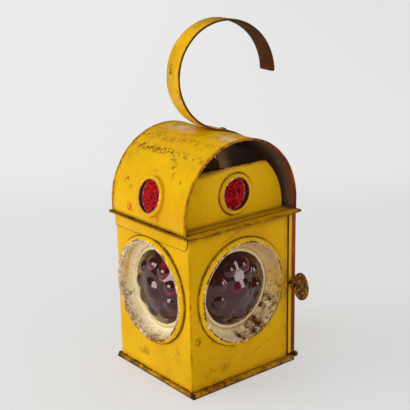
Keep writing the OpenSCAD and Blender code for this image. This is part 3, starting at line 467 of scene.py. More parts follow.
def body_paint():
    """Body yellow: dark dashes down the front fold, smudges, scratches and grime by the door."""

    def fold(m):
        return (HALF_WIDTH - m.x.size()) + (m.y - FRONT_Y)

    def edge(m):
        return fold(m).least((m.z - 5.0) * 0.55)

    def extra(m, c):
        dash = fold(m).rise(1.7, 0.6) * m.cloud(4, 4, 0.54, 0.6, 71, stretch=(1, 1, 0.5))
        m.lay(dash, m.blend(0.5, c.rust, c.dark))
        # specks low by the fold
        specks = m.spot((63.5, -56.4, 59.5), (4, 6, 7)) * m.cloud(2.4, 6, 0.48, 0.52, 69, roughness=0.7)
        m.lay(specks * 0.85, c.dark)
        # smudges
        for centre, reach in (((63.5, -38, 19), (4, 16, 9)), ((63.5, -20, 20), (4, 12, 7)),
                              ((63.5, -12, 36), (4, 6, 14)), ((63.5, -36, 60), (4, 7, 12)),
                              ((-20, -66, 25), (16, 4, 9)), ((40, -66, 40), (9, 4, 12))):
            m.lay(m.spot(centre, reach) * m.cloud(6, 5, 0.42, 0.64, centre[1]) * 0.5, c.grime)
        # sloping scratches on the front, then on the right side
        for x, z, length in ((-32, 153, 14), (-24, 155, 13), (-18, 158.5, 7)):
            line = ((m.z - z) - (m.x - x) * 0.42).size().rise(1.1, 0.3)
            line = line * m.x.rise(x, x + 1) * m.x.rise(x + length, x + length - 3)
            line = line * m.y.rise(FRONT_Y + 2, FRONT_Y + 1) * m.cloud(3, 3, 0.4, 0.5, z)
            m.lay(line * 0.8, c.primer)
        for y, z, length in ((-25, 156, 27), (-19, 156.5, 22), (12, 157, 9), (20, 26, 24)):
            line = ((m.z - z) - (m.y - y) * 0.38).size().rise(0.9, 0.2) * m.y.rise(y - 1, y + 1)
            line = line * m.y.rise(y + length, y + length - 4) * m.x.rise(60, 62)
            m.lay(line * m.cloud(4, 3, 0.42, 0.52, z) * 0.8, c.primer)
        # the right side darker, and dirt at the foot, at the top and by the door
        m.lay(m.x.rise(60, 63) * 0.25, c.ochre)
        m.lay(m.z.rise(14, 4) * m.cloud(10, 5, 0.35, 0.65, 41) * 0.4, m.blend(0.5, c.grime, c.ochre))
        m.lay(m.z.rise(BODY_HIGH.z - 9, BODY_HIGH.z) * m.cloud(8, 4, 0.3, 0.6, 43) * 0.6, c.grime)
        m.lay(m.y.rise(57, 66) * m.cloud(12, 4, 0.3, 0.7, 47) * 0.45, c.grime)
        # a rusty line round each bezel
        for side, near in (("front", m.y.rise(FRONT_Y + 3, FRONT_Y + 1)),
                           ("right", m.x.rise(HALF_WIDTH - 3, HALF_WIDTH - 1)),
                           ("left", m.x.rise(3 - HALF_WIDTH, 1 - HALF_WIDTH))):
            line = m.ring(side)[0].rise(mm("bezel_radius") + 1.7, mm("bezel_radius") + 0.2)
            m.lay(line * (0.45 + m.cloud(9, 3, 0.35, 0.65, 51) * 0.5) * near, c.rust)
        # plain and dirty inside
        inside = m.x.size().rise(HALF_WIDTH - 0.4, HALF_WIDTH - 0.8) * m.y.rise(FRONT_Y + 0.4, FRONT_Y + 0.8)
        m.lay(inside, c.grime)
        m.bare = m.bare.most(dash)

    return worn_paint("body paint", edge, extra, reach=1.7, grime=0.35, amount=0.35, age=0.4)


def bezel_paint(side):
    """Cream dish with rust specks, heavier low down and to one side, and a yellow outer slope."""
    c = colours()
    front = side == "front"
    m = Finish("bezel enamel " + side, c.cream, specular=0.15, tint=WARM_SHEEN)
    radius, along, up = m.ring(side)
    # the rust crowds low in the dish and, on the sides, towards the door
    depth = m.y - FRONT_Y if front else HALF_WIDTH - m.x.size()
    if front:
        heavy = (up * -0.85 - along * 0.4).rise(10, 44) * depth.rise(7, -2)
        spots = (((-46, -18), 4), ((5, -52), 8), ((-30, -42), 3))
    else:
        heavy = (along * 0.6 - up * 0.8).rise(10, 52) * radius.rise(40, 45)
        spots = (((42, -19), 9), ((36, -27), 6), ((24, -41), 10), ((15, -47), 7), ((-2, -50), 6))
    brown = m.blend(m.cloud(5, 4, 0.35, 0.65, 31), c.rust, c.umber)
    light_brown = m.blend(0.35, c.rust, c.primer) if front else m.blend(0.5, c.rust, c.dark)
    m.lay(m.cloud(24, 3, 0.4, 0.75, 3) * (0.12 if front else 0.3), c.beige)
    if not front:
        # yellower and in shade towards the door
        m.lay(0.35, m.blend(0.4, c.cream, c.yellow))
        shade = (along * 0.7 + up * 0.6).rise(8, 44) * radius.rise(42, 47)
        m.lay(shade * 0.6, m.blend(0.1, c.beige, c.grime))
        m.lay((along.rise(44, 50) * up.size().rise(30, 10)) * 0.5, c.yellow)
    m.lay(m.cloud(11, 5, 0.4, 0.75, 33) * heavy * (0.5 if front else 0.95), m.blend(0.5, c.beige, c.umber))
    # yellow outer slope with a ragged edge, and the brown line at the foot of the dish wall
    ragged = radius + (m.noise(3.2, 5, shift=23, roughness=0.7) - 0.5) * 9
    crest, dish, opening = mm("crest_radius", "dish_radius", "lens_opening")
    m.lay(ragged.rise(crest + 0.9, crest + 1.9), c.yellow)
    groove = (radius - dish + 0.6).size().rise(1.4, 0.5)
    m.lay(groove * (0.45 + heavy * 0.3), c.umber)
    # specks and blots, which crowd at the spots
    crowd = None
    for (across, height), reach in spots:
        close = m.far(along - across, up - height).rise(reach, 0)
        crowd = close if crowd is None else crowd.most(close)
    fine = m.noise(1.1, 4, shift=12, roughness=0.75) * 0.6 + m.noise(4.5, 4, shift=14) * 0.4
    specks = (fine + heavy * 0.05 + crowd * 0.08).rise(0.56, 0.61)
    m.lay(specks * (0.45 + heavy * 0.5), brown)
    blots = m.noise(3.2, 6, shift=17, roughness=0.7) * 0.65 + m.noise(11, 3, shift=18) * 0.35
    blots = (blots + crowd * (0.09 if front else 0.145) + heavy * 0.02).rise(0.6, 0.66)
    m.lay(blots * 0.95, m.blend(m.cloud(3, 3, 0.45, 0.6, 19), c.dark, c.rust))
    # the worn crest, rim and edge of the opening
    slope = (radius - crest).size()
    m.lay(m.chips(slope, 5.0, grain=2.4, amount=0.55, shift=26) * 0.5, light_brown if front else c.umber)
    dots = m.cloud(1.4, 4, 0.6, 0.64, 27, roughness=0.7) * slope.rise(7, 1)
    m.lay(dots * (0.6 if front else 0.85), light_brown)
    m.lay(m.chips((radius - crest - 0.9).size(), 2.6, grain=4.6, amount=0.36, shift=19) * 0.9, c.rust)
    rim = (mm("bezel_radius") - radius).rise(1.0, 0.3) * (0.6 + m.cloud(9, 4, 0.4, 0.6, 22) * 0.4)
    m.lay(rim * 0.9, c.rust)
    m.lay((radius - opening - 1.5).size().rise(2.0, 1.2) * 0.8, m.blend(0.25, c.cream, c.yellow))
    m.lay(m.chips((radius - opening).size(), 2.2, grain=1.6, amount=0.3, shift=25) * 0.75, c.umber)
    if front:
        # a run of yellow on the left wall of the dish
        streak = (depth - 3.6 + (m.noise(16, 2, shift=5) - 0.5) * 7).size().rise(2.4, 1.6)
        streak = streak * along.rise(-24, -30) * up.rise(-8, 2) * up.rise(44, 36) * radius.rise(45, 46)
        m.lay(streak * 0.7, c.yellow)
    grain = m.noise(3, 4, shift=4) * 0.5
    return m.done(grain - specks * 0.5, 0.25, 0.42 + specks * 0.3 + m.noise(9, 3) * 0.1)


def ledge_paint():
    """Ledge yellow, mostly worn, with dark seams where the hood and its panels stand on it."""

    def edge(m):
        side = LEDGE_HIGH.x - m.x.size()
        return side.least(m.y - LEDGE_LOW.y).least(LEDGE_HIGH.y - m.y)

    def extra(m, c):
        m.lay(0.5, m.blend(m.cloud(12, 4, 0.4, 0.7, 6), c.ochre, c.umber))
        # dark seams beside the panels and before the hood, dark rear corners, and rust on the lower edge
        seam = m.x.size().near(PANEL_HIGH.x + 0.7, 1.1, 0.4).least((m.y - HOOD_LOW.y).rise(-2, 0))
        m.lay(seam.most((m.y - HOOD_LOW.y + 0.5).size().rise(1.5, 0.5)) * 0.85, c.dark)
        corner = m.y.rise(LEDGE_HIGH.y - 8, LEDGE_HIGH.y - 3) * m.x.rise(HALF_WIDTH, HALF_WIDTH + 3)
        m.lay(corner * 0.85, c.dark)
        m.lay(m.z.rise(LEDGE_LOW.z + 0.8, LEDGE_LOW.z) * m.cloud(5, 5, 0.3, 0.5, 8) * 0.8, c.rust)

    return worn_paint("ledge paint", edge, extra, reach=2.6, amount=0.66, age=0.9, grime=0.3, shift=5.0)


def base_paint():
    """Foot yellow, mostly gone to rust, dark in the bead's groove and corners."""

    def edge(m):
        return ((BODY_HIGH.x + 4 - m.x.size()).most(0) + (m.y - FRONT_Y + 3)) * 0.4

    def extra(m, c):
        m.lay(0.7, m.blend(m.cloud(9, 5, 0.38, 0.62, 6), c.ochre, c.grime))
        rusty = m.cloud(4, 6, 0.5, 0.57, 16, stretch=(0.55, 0.55, 1.2), roughness=0.7)
        m.lay(rusty * 0.85, m.blend(m.cloud(20, 2, 0.4, 0.6, 5), c.rust, c.umber))
        groove = m.z.near(4.7, 0.8, 0.2) * m.x.size().rise(HALF_WIDTH + 1.5, HALF_WIDTH + 0.8)
        m.lay(groove * m.y.rise(FRONT_Y - 1.5, FRONT_Y - 0.8) * 0.8, c.dark)
        corner = (HALF_WIDTH + 2.5 - m.x.size()).most(0) + (m.y - FRONT_Y + 2.5).most(0)
        m.lay(corner.rise(4.5, 1.5).most(m.y.rise(70, 77) * 0.8), c.dark)
        floor_line = (m.z + m.noise(6, 3, shift=9) * 2 - 1).rise(2.2, 0.6)
        m.lay(floor_line * 0.85, m.blend(0.4, c.dark, c.rust))
        m.bare = m.bare.most(rusty)

    return worn_paint("base paint", edge, extra, reach=7, amount=0.7, age=1.0, grime=0.9, shift=7.0)


def panel_paint():
    """End panel yellow, with primer at its top, painted shade beside it under the hood and along its foot,
    and a painted shadow line round the reflector's ring.
    """

    def edge(m):
        return PANEL_HIGH.z - m.z

    def extra(m, c):
        top = m.z.rise(PANEL_HIGH.z - 3.5, PANEL_HIGH.z - 1.0) * m.cloud(9, 3, 0.35, 0.5, 2)
        m.lay(top * (0.35 + m.y.rise(0, 40) * 0.6), c.primer)
        # painted shade under the hood's edge, along the panel's top and towards the front
        shade_under_hood = (PANEL_HIGH.z - 1 - m.z + m.y.rise(10, -40) * -4).rise(3.0, -2.0) * m.y.rise(14, -20)
        m.lay(shade_under_hood * 0.7, c.grime)
        # the foot's bend, darkened as painted shade under the hood, and a line where its flange starts
        bend = m.z.rise(LEDGE_TOP + 5, LEDGE_TOP + 2)
        m.lay(bend * (0.55 + m.noise(20, 3, shift=4) * 0.3), m.blend(0.45, c.grime, c.ochre))
        m.lay(m.x.size().near(PANEL_HIGH.x - 7.6, 1.2, 0.3) * bend * 0.5, c.dark)
        # dirt round the reflector's ring, and a dark line close round it as painted shadow
        radius = m.far(m.y - 6, m.z - 199.3)
        m.lay(radius.rise(24.5, 21.5) * m.cloud(7, 3, 0.3, 0.6, 9) * 0.7, c.grime)
        m.lay(radius.near(21.9, 1.3, 0.4) * (0.4 + m.cloud(12, 3, 0.35, 0.6, 12) * 0.5), c.rust)
        inside = m.x.size().rise(PANEL_LOW.x + 0.6, PANEL_LOW.x + 0.2)
        inside = inside.most(m.x.rise(1, -1) * m.x.size().rise(PANEL_LOW.x + 1.0, PANEL_LOW.x + 0.9))
        m.lay(inside, m.blend(0.6, c.soot, c.beige))

    return worn_paint("panel paint", edge, extra, reach=2.6, amount=0.5, age=0.15, grime=0.35, shift=4.0)


def door_paint():
    """Door yellow, with the red-primer rolled edge and dark lines where the flange is folded."""
    roll_y = DOOR_HIGH.y - 5.2

    def edge(m):
        rim = (DOOR_HIGH.z - m.z).least(m.z - DOOR_LOW.z)
        return rim.least((HALF_WIDTH - m.x.size()) + (DOOR_HIGH.y - m.y))

    def extra(m, c):
        # the rolled edge shows on the right side
        right = m.x.rise(HALF_WIDTH - 6, HALF_WIDTH - 4.8)
        roll = right * m.y.rise(roll_y - 0.4, roll_y + 0.4)
        red = m.blend(m.z.rise(150, 20) * 0.55 + m.cloud(11, 5, 0.35, 0.7, 9) * 0.35, c.primer, c.rust)
        red = m.blend(m.cloud(5, 4, 0.62, 0.68, 12, stretch=(1, 1, 0.3)), red, c.ochre)
        red = m.blend(0.3, red, DEEP_PRIMER)
        strip = right * m.y.rise(roll_y - 3.4, roll_y - 3.0)
        m.lay(strip * m.cloud(14, 4, 0.3, 0.6, 5, stretch=(1, 1, 0.4)) * 0.5, c.umber)
        m.lay(roll * (1 - m.y.rise(78.6, 79.6) * 0.6), red)
        m.lay(m.y.near(roll_y - 0.7, 1.3, 0.6) * m.x.rise(HALF_WIDTH - 2, HALF_WIDTH - 1), c.rust)
        m.lay((m.y - DOOR_LOW.y).rise(0.9, 0.3), c.rust)

    return worn_paint("door paint", edge, extra, reach=3.0, amount=0.5, age=0.5, grime=0.5, shift=9.0)


def hook_paint(loop_x, loop_y, loop_z, loop_r, yaw):
    """Strap yellow on its outer face, bare brown rust on its inner face and edges."""
    thick, half = mm("strap_thickness"), mm("strap_width") / 2

    def extra(m, c):
        ahead = (m.x - loop_x) * math.sin(yaw) + (m.y - loop_y) * math.cos(yaw)
        side = (m.x - loop_x) * math.cos(yaw) - (m.y - loop_y) * math.sin(yaw)
        above_hood = m.z.rise(HOOD_HIGH.z + 6, HOOD_HIGH.z + 22)
        inner = m.far(ahead, m.z - loop_z).rise(loop_r - thick * 0.35, loop_r - thick * 0.55) * above_hood
        brown = m.blend(m.cloud(9, 5, 0.35, 0.65, 6), c.rust, m.blend(0.5, c.dark, c.rust))
        edge_on = side.size().rise(half - 0.7, half - 0.2)
        top = m.z.rise(loop_z + loop_r * 0.62, loop_z + loop_r * 0.98) * ahead.rise(-46, 10)
        m.lay(top * 0.75, m.blend(m.cloud(5, 4, 0.4, 0.6, 3), c.ochre, c.grime))
        m.lay(ahead.rise(4, 24) * above_hood, c.rust)
        m.lay((half - side.size()).rise(2.4, 0.2) * m.cloud(7, 3, 0.35, 0.6, 8) * 0.6, c.grime)
        m.lay(m.chips(side.size().rise(0, 1), 4, grain=3.4, amount=0.02, shift=11) * 0.8, c.rust)
        m.lay((edge_on * 0.9).most(inner), brown)
        m.bare = m.bare.most(inner)

    return worn_paint("hook paint", extra=extra, age=0.7, grime=0.55, shift=11.0)


def skirt_paint(right, low, radius):
    """Skirt yellow, with a rusty line along its free edge."""

    def edge(m):
        return radius - m.far((m.x - (right - radius)).most(0), (low + radius - m.z).most(0))

    def extra(m, c):
        m.lay(edge(m).rise(0.9, 0.3) * m.cloud(14, 3, 0.3, 0.45, 4) * 0.75, c.rust)

    return worn_paint("skirt paint", edge, extra, reach=1.0, amount=0.35, age=0.4, grime=0.35, shift=15)


def rim_paint():
    """The hood's rolled rim: rust and primer with some yellow left, redder towards the rear."""
    c = colours()
    m = Finish("rim paint", c.umber, specular=0.15, tint=WARM_SHEEN)
    m.lay(0.35, c.ochre)
    m.lay(m.cloud(3, 5, 0.4, 0.7, 3), c.rust)
    m.lay(m.y.rise(-10, 40), m.blend(m.cloud(16, 4, 0.3, 0.6, 5) * 0.7 + 0.3, c.primer, c.rust))
    m.lay(m.cloud(5, 5, 0.44, 0.54, 9) * m.y.rise(60, -10) * 0.9, c.ochre)
    return m.done(m.noise(2.2, 4), 0.3, 0.6 + m.noise(3, 3) * 0.2)


def ruby_glass(side):
    """Deep ruby pressed glass: nearly black, with painted red glints in the bumps."""
    c = colours()
    front = side == "front"
    m = Finish("ruby glass " + side, c.ruby, roughness=0.06, coat=0.35, coat_roughness=0.03, tint=RED_SHEEN)
    radius, along, up = m.ring(side)
    m.lay(m.cloud(18, 3, 0.35, 0.7) * 0.5, DARK_RUBY)
    pitch = mm("bump_pitch")
    lean = (0.35, -0.9) if front else (0.9, -0.45)
    # painted glints: a red crescent of light in each bump, and one round glint
    glow = None
    for index in range(LENS_BUMPS):
        angle = math.radians(LENS_TURNS[side]) + math.tau * index / LENS_BUMPS
        u, v = along - pitch * math.cos(angle), up - pitch * math.sin(angle)
        crescent = m.far(u, v).near(6.2, 2.4, 0.6) * (u * lean[0] + v * lean[1]).rise(1.5, 6.0)
        glow = crescent if glow is None else glow.most(crescent)
    glow = glow * m.cloud(15, 2, 0.4, 0.56, 4)
    m.lay(glow * (0.25 + up.rise(-22, 16) * 0.65), c.glint)
    u, v = (along - 17, up - 32) if front else (along + 8, up - 6)
    m.lay(m.far(u, v).rise(7, 4.5) * (0.5 if front else 0.18), c.glint)
    m.lay(radius.rise(33, 38) * 0.6, RUBY_RIM)
    return m.done(m.noise(7, 2), 0.12)


def reflector_glass():
    """Red moulded glass: prisms with painted highlights and painted shade, silver dots and dirt in a painted
    shadow crescent by its rim.
    """
    c = colours()
    m = Finish("reflector glass", c.scarlet, roughness=0.2, specular=0.2, tint=DEEP_RED_SHEEN)
    # prisms in painted shade, and prisms with a painted highlight
    m.lay(m.cells(1.7, "Color", 0.9).rise(0.3, 0.75), SHADED_PRISM)
    m.lay(m.cells(2.3).rise(0.3, 0.14) * m.cloud(4, 2, 0.4, 0.55), PRISM_HIGHLIGHT)
    reach = recess(m)
    # a crescent of painted shadow from the ring's inner wall by the far edge, dirty in places
    m.lay(reach.rise(17.2, 18.0), m.blend(m.cloud(1.8, 4, 0.5, 0.64, 6) * 0.5, PRISM_SHADE, c.grime))
    m.lay(reach.near(17.8, 0.7, 0.3) * m.cloud(1.1, 3, 0.5, 0.56, 7) * 0.8, c.silver)
    return m.done(m.cells(1.7), 0.4)


def recess(m):
    """Distance from a point beside each reflector's middle, so that its far edge lies in a painted shadow
    crescent.
    """
    low, high = node_box("reflector_glass_front")
    low_r, high_r = node_box("reflector_glass_right")
    front = m.y.rise(-45, -55)
    across = front * (m.x - (low.x + high.x) / 2) + (1 - front) * ((low_r.y + high_r.y) / 2 - m.y)
    up = m.z - front * ((low.z + high.z) / 2) - (1 - front) * ((low_r.z + high_r.z) / 2)
    return m.far(across - 6, up - 1.5)


def silver_rim():
    """Silvered bead round the reflector glass, mottled with rust and red, darker as painted shade towards the
    shadow crescent.
    """
    c = colours()
    m = Finish("silver rim", c.silver, metallic=0.7)
    # rust and red mottling, heavier towards the shadow crescent as painted shade
    mottled = (m.noise(1.6, 4) + recess(m).rise(14, 19) * 0.16).rise(0.46, 0.56)
    m.lay(mottled, m.blend(0.25, c.dark, c.scarlet))
    m.lay(m.cloud(5, 3, 0.55, 0.7, 2), c.scarlet)
    return m.done(m.noise(1.4, 3), 0.2, 0.3 + mottled * 0.4)


def woven(name, grain, char_from=None):
    """Woven cotton; above char_from millimetres it is burnt black."""
    c = colours()
    m = Finish(name, c.cotton, roughness=0.9, specular=0.1)
    warp, weft = (m.math("SINE", field * (math.pi / grain)) for field in (m.z, m.x + m.y))
    weave = warp * weft * 0.5 + 0.5
    m.lay(weave * 0.5, c.grime)
    if char_from is not None:
        m.lay(m.z.rise(char_from - 3, char_from), CHAR)
    return m.done(weave, 0.3)


def cork():
    """Pressed cork, its grains dirty in places."""
    m = Finish("cork", CORK, roughness=0.85, specular=0.15)
    m.lay(m.cells(1.4, "Color").rise(0.2, 0.8) * 0.6, colours().grime)
    return m.done(m.cells(1.4), 0.2)


# ---------------------------------------------------------------- shape helpers


def vertices(bm, points):
    """Vertices at points in millimetres."""
    return [bm.verts.new(Vector(p) * MM) for p in points]


def chain(bm, points, closed=False):
    """Vertices through points in millimetres, and the edges that join them."""
    verts = vertices(bm, points)
    pairs = list(zip(verts, verts[1:]))
    if closed:
        pairs.append((verts[-1], verts[0]))
    return verts, [bm.edges.new(pair) for pair in pairs]


def edges_in(geometry):
    return [item for item in geometry if isinstance(item, bmesh.types.BMEdge)]


def arc(centre, radius, start, end, steps, height=None):
    """Points (u, v) along an arc, angles in degrees. With a height it is part of an ellipse."""
    height = radius if height is None else height
    angles = [math.radians(start + (end - start) * i / steps) for i in range(steps + 1)]
    return [(centre[0] + radius * math.cos(a), centre[1] + height * math.sin(a)) for a in angles]


def spun(outline, steps):
    """A closed outline of (radius, height) in millimetres turned once round Z."""
    bm = bmesh.new()
    verts, edges = chain(bm, [(r, 0, z) for r, z in outline], closed=True)
    bmesh.ops.spin(bm, geom=verts + edges, cent=(0, 0, 0), axis=(0, 0, 1), angle=math.tau,
                   steps=steps, use_merge=True, use_duplicate=False)
    bmesh.ops.remove_doubles(bm, verts=bm.verts, dist=1e-6)
    bmesh.ops.recalc_face_normals(bm, faces=bm.faces)
    return bm


def part_spun(bm, verts, edges, centre, axis, angle, steps):
    """Turns a profile part of the way round a centre in millimetres and returns its last edges."""
    turned = bmesh.ops.spin(bm, geom=verts + edges, cent=Vector(centre) * MM, axis=axis, angle=angle,
                            steps=steps, use_merge=False, use_duplicate=False)
    return edges_in(turned["geom_last"])


def drawn_out(bm, edges, vector, steps):
    """Edges extruded along vector in millimetres in equal steps."""
    step = Vector(vector) * MM / steps
    for _ in range(steps):
        new = bmesh.ops.extrude_edge_only(bm, edges=edges)["geom"]
        edges = edges_in(new)
        verts = [item for item in new if isinstance(item, bmesh.types.BMVert)]
        bmesh.ops.translate(bm, verts=verts, vec=step)


def box(bm, size, middle=(0, 0, 0)):
    """Box of a size round its middle, both in millimetres."""
    bmesh.ops.create_cube(bm, size=1.0)
    bmesh.ops.scale(bm, verts=bm.verts, vec=Vector(size) * MM)
    bmesh.ops.translate(bm, verts=bm.verts, vec=Vector(middle) * MM)


def drum(bm, radius, depth, segments, place):
    """Solid cylinder along the local Z of place."""
    bmesh.ops.create_cone(bm, cap_ends=True, segments=segments, radius1=radius * MM, radius2=radius * MM,
                          depth=depth * MM, matrix=place)


def bevelled(bm, edges, width, segments=2, profile=0.5):
    bmesh.ops.bevel(bm, geom=edges, offset=width * MM, affect="EDGES", segments=segments, profile=profile,
                    material=-1)


def faced_out(bm, outward):
    """Makes the normals agree, and turns them all over if outward adds up below 0 over the faces."""
    bmesh.ops.recalc_face_normals(bm, faces=bm.faces)
    if sum(outward(face) for face in bm.faces) < 0:
        bmesh.ops.reverse_faces(bm, faces=bm.faces)


def uneven(bm, amount, lump, seed, lock=None):
    """Moves each vertex along its normal by soft noise, so that pressed sheet looks pressed."""
    bm.normal_update()
    for vert in bm.verts:
        point = vert.co / MM
        if lock is not None and lock(point):
            continue
        wave = noise.noise(point / lump + Vector((seed, seed * 2, seed * 3)))
        vert.co += vert.normal * wave * amount * MM


def face_place(side, across, height, out=0.0):
    """Matrix that sets a piece's +Z out of a body face at a point in millimetres."""
    columns, point = {
        "front": (((1, 0, 0), (0, 0, 1), (0, -1, 0)), (across, FRONT_Y - out, height)),
        "right": (((0, 1, 0), (0, 0, 1), (1, 0, 0)), (HALF_WIDTH + out, across, height)),
        "left": (((0, -1, 0), (0, 0, 1), (-1, 0, 0)), (-HALF_WIDTH - out, across, height)),
    }[side]
    return Matrix.Translation(Vector(point) * MM) @ Matrix(columns).transposed().to_4x4()


def set_at(bm, matrix):
    """Moves a bmesh to its place on the lamp."""
    bmesh.ops.transform(bm, matrix=matrix, verts=bm.verts)
    return bm


def placed(bm, name):
    """An object in the scene that holds a bmesh as its mesh."""
    mesh = bpy.data.meshes.new(name)
    bm.to_mesh(mesh)
    bm.free()
    piece = bpy.data.objects.new(name, mesh)
    bpy.context.scene.collection.objects.link(piece)
    return piece


def finished(bm, name, material, body="lamp", replaces=(), crease=CREASE):
    """Turns a bmesh into a shaded piece that rides on a body."""
    piece = placed(bm, name)
    mesh = piece.data
    mesh.polygons.foreach_set("use_smooth", [True] * len(mesh.polygons))
    mesh.set_sharp_from_angle(angle=math.radians(crease))
    mesh.materials.append(material)
    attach(piece, body)
    if replaces:
        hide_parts(*replaces)
    return piece


def thickened(piece, thickness=None, offset=-1.0):
    """Gives a sheet its thickness in millimetres, or the thickness in the sidebar."""
    modifier = piece.modifiers.new("wall", "SOLIDIFY")
    modifier.thickness = sizes().sheet if thickness is None else thickness * MM
    modifier.offset = offset
    modifier.use_even_offset = True


def eased(piece, width, segments=2, angle=40.0):
    """Rounds the piece's sharp edges."""
    modifier = piece.modifiers.new("eased edges", "BEVEL")
    modifier.width = width * MM
    modifier.segments = segments
    modifier.limit_method = "ANGLE"
    modifier.angle_limit = math.radians(angle)
    modifier.harden_normals = False


def dressed(node, edge, material, body="lamp"):
    """The frame node's own shape with its edges rounded and a finish on it."""
    bm = bmesh.new()
    bm.from_mesh(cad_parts[node].data)
    bmesh.ops.remove_doubles(bm, verts=bm.verts, dist=2e-6)
    bmesh.ops.dissolve_limit(bm, angle_limit=math.radians(1.0), verts=bm.verts, edges=bm.edges)
    eased(finished(bm, node + "_finished", material, body, (node,)), edge)


def painted(nodes, material):
    """Gives frame nodes, whose shape is right already, a detailed finish."""
    for node in nodes:
        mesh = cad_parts[node].data
        mesh.materials.clear()
        mesh.materials.append(material)


def bored(piece, cutters):
    """Cuts closed bmeshes out of a piece and keeps the result as its mesh."""
    holes = [placed(bm, "cutter") for bm in cutters]
    for index, cutter in enumerate(holes):
        modifier = piece.modifiers.new("hole%d" % index, "BOOLEAN")
        modifier.operation = "DIFFERENCE"
        modifier.solver = "EXACT"
        modifier.object = cutter
    bpy.context.view_layer.update()
    shape = piece.evaluated_get(bpy.context.evaluated_depsgraph_get())
    cut_mesh = bpy.data.meshes.new_from_object(shape)
    piece.modifiers.clear()
    piece.data = cut_mesh
    cut_mesh.set_sharp_from_angle(angle=math.radians(CREASE))
    for cutter in holes:
        bpy.data.objects.remove(cutter)


class LampOperator:
    """What the lamp's operators share."""

    bl_options = {"REGISTER", "UNDO"}


# ---------------------------------------------------------------- pieces


class ROADLAMP_OT_foot(LampOperator, bpy.types.Operator):
    """Add the foot plate with its folded bead"""

    bl_idname = "road_lamp.foot"
    bl_label = "Foot"

    def execute(self, context):
        dressed("base_tray", 0.5, base_paint())
        return {"FINISHED"}


class ROADLAMP_OT_body(LampOperator, bpy.types.Operator):
    """Add the folded body, the rear frame and the lapped front skirt"""

    bl_idname = "road_lamp.body"
    bl_label = "Body"

    # columns and rows of vertices that the dents can move
    columns = 14
    rows = 20
    skirt_drop = 14.0
    skirt_corner = 8.0
    skirt_sheet = 0.9

    def execute(self, context):
        self.wrapper()
        self.skirt()
        inner = plain_metal("frame paint", colours().ochre, 0.6, metallic=0.0, stain=0.8, shift=21)
        painted(["rear_frame"], inner)
        return {"FINISHED"}

    def wrapper(self):
        """Front and sides in one folded sheet, holed for the three bezels."""
        bm = bmesh.new()
        r, w, rear = mm("corner"), HALF_WIDTH, BODY_HIGH.y
        deep, wide = rear - FRONT_Y - r, 2 * w - 2 * r
        steps = [i / self.columns for i in range(self.columns + 1)]
        path = [(-w, rear - deep * step) for step in steps[:-1]]
        path += arc((-w + r, FRONT_Y + r), r, 180, 270, 5)
        path += [(-w + r + wide * step, FRONT_Y) for step in steps[1:-1]]
        path += arc((w - r, FRONT_Y + r), r, 270, 360, 5)
        path += [(w, FRONT_Y + r + deep * step) for step in steps[1:]]
        edges = chain(bm, [(x, y, BODY_LOW.z) for x, y in path])[1]
        drawn_out(bm, edges, (0, 0, BODY_HIGH.z - BODY_LOW.z), self.rows)
        faced_out(bm, lambda face: face.normal.x * math.copysign(1, face.calc_center_median().x))
        # no dents at the foot, at the top and by the door, where other pieces meet it
        uneven(bm, mm("dent"), lump=34, seed=1.0, lock=lambda p: p.y > 60 or p.z < 8 or p.z > 160)
        piece = finished(bm, "folded_body", body_paint(), replaces=("body_shell",))
        thickened(piece)
        cutters = []
        for side in SIDES:
            cutters.append(bmesh.new())
            drum(cutters[-1], mm("crest_radius") + 2, 8, 96, face_place(side, *lens_centre(side)))
        bored(piece, cutters)

    def skirt(self):
        bm = bmesh.new()
        corner = self.skirt_corner
        left, right = SKIRT_LOW.x, SKIRT_HIGH.x
        low, high = BODY_HIGH.z - self.skirt_drop, SKIRT_HIGH.z
        outline = [(left, high), (left, low), *arc((right - corner, low + corner), corner, 270, 360, 8),
                   (right, high)]
        bm.faces.new(vertices(bm, [(u, FRONT_Y, v) for u, v in outline]))
        faced_out(bm, lambda face: -face.normal.y)
        paint = skirt_paint(right, low, corner)
        piece = finished(bm, "lapped_skirt", paint, replaces=("front_skirt",))
        thickened(piece, self.skirt_sheet, offset=1.0)
        eased(piece, 0.25)


class ROADLAMP_OT_ledge(LampOperator, bpy.types.Operator):
    """Add the hemmed ledge between body and hood"""

    bl_idname = "road_lamp.ledge"
    bl_label = "Seam ledge"

    corner = 4.0
    # how far the ledge reaches in under the chimney tube
    inside_tube = 5.0

    def execute(self, context):
        bm = bmesh.new()
        r = self.corner
        x0, x1 = LEDGE_LOW.x + r, LEDGE_HIGH.x - r
        y0, y1 = LEDGE_LOW.y + r, LEDGE_HIGH.y - r
        outline = []
        for turn, centre in enumerate(((x1, y1), (x0, y1), (x0, y0), (x1, y0))):
            outline += arc(centre, r, turn * 90, turn * 90 + 90, 4)
        edges = chain(bm, [(x, y, LEDGE_TOP) for x, y in outline], closed=True)[1]
        bmesh.ops.subdivide_edges(bm, edges=[e for e in edges if e.calc_length() > 20 * MM], cuts=18)
        outer = list(bm.edges)
        tube_low, tube_high = node_box("chimney_tube")
        hole = arc((0, 0), (tube_high.x - tube_low.x) / 2 - self.inside_tube, 0, 360, 92)[:-1]
        inner = chain(bm, [(u, v, LEDGE_TOP) for u, v in hole], closed=True)[1]
        bridge = bmesh.ops.bridge_loops(bm, edges=outer + inner)["edges"]
        bmesh.ops.subdivide_edges(bm, edges=[e for e in bridge if e.calc_length() > 8 * MM], cuts=5,
                                  use_grid_fill=True)
        faced_out(bm, lambda face: face.normal.z)
        # flat under the hood, which stands on it
        uneven(bm, 0.8, lump=26, seed=4.0, lock=lambda p: abs(p.x) < 64 and -71 < p.y < 80)
        piece = finished(bm, "hemmed_ledge", ledge_paint(), replaces=("seam_ledge",))
        thickened(piece, LEDGE_HIGH.z - LEDGE_LOW.z)
        eased(piece, 0.9, segments=3, angle=50)
        return {"FINISHED"}


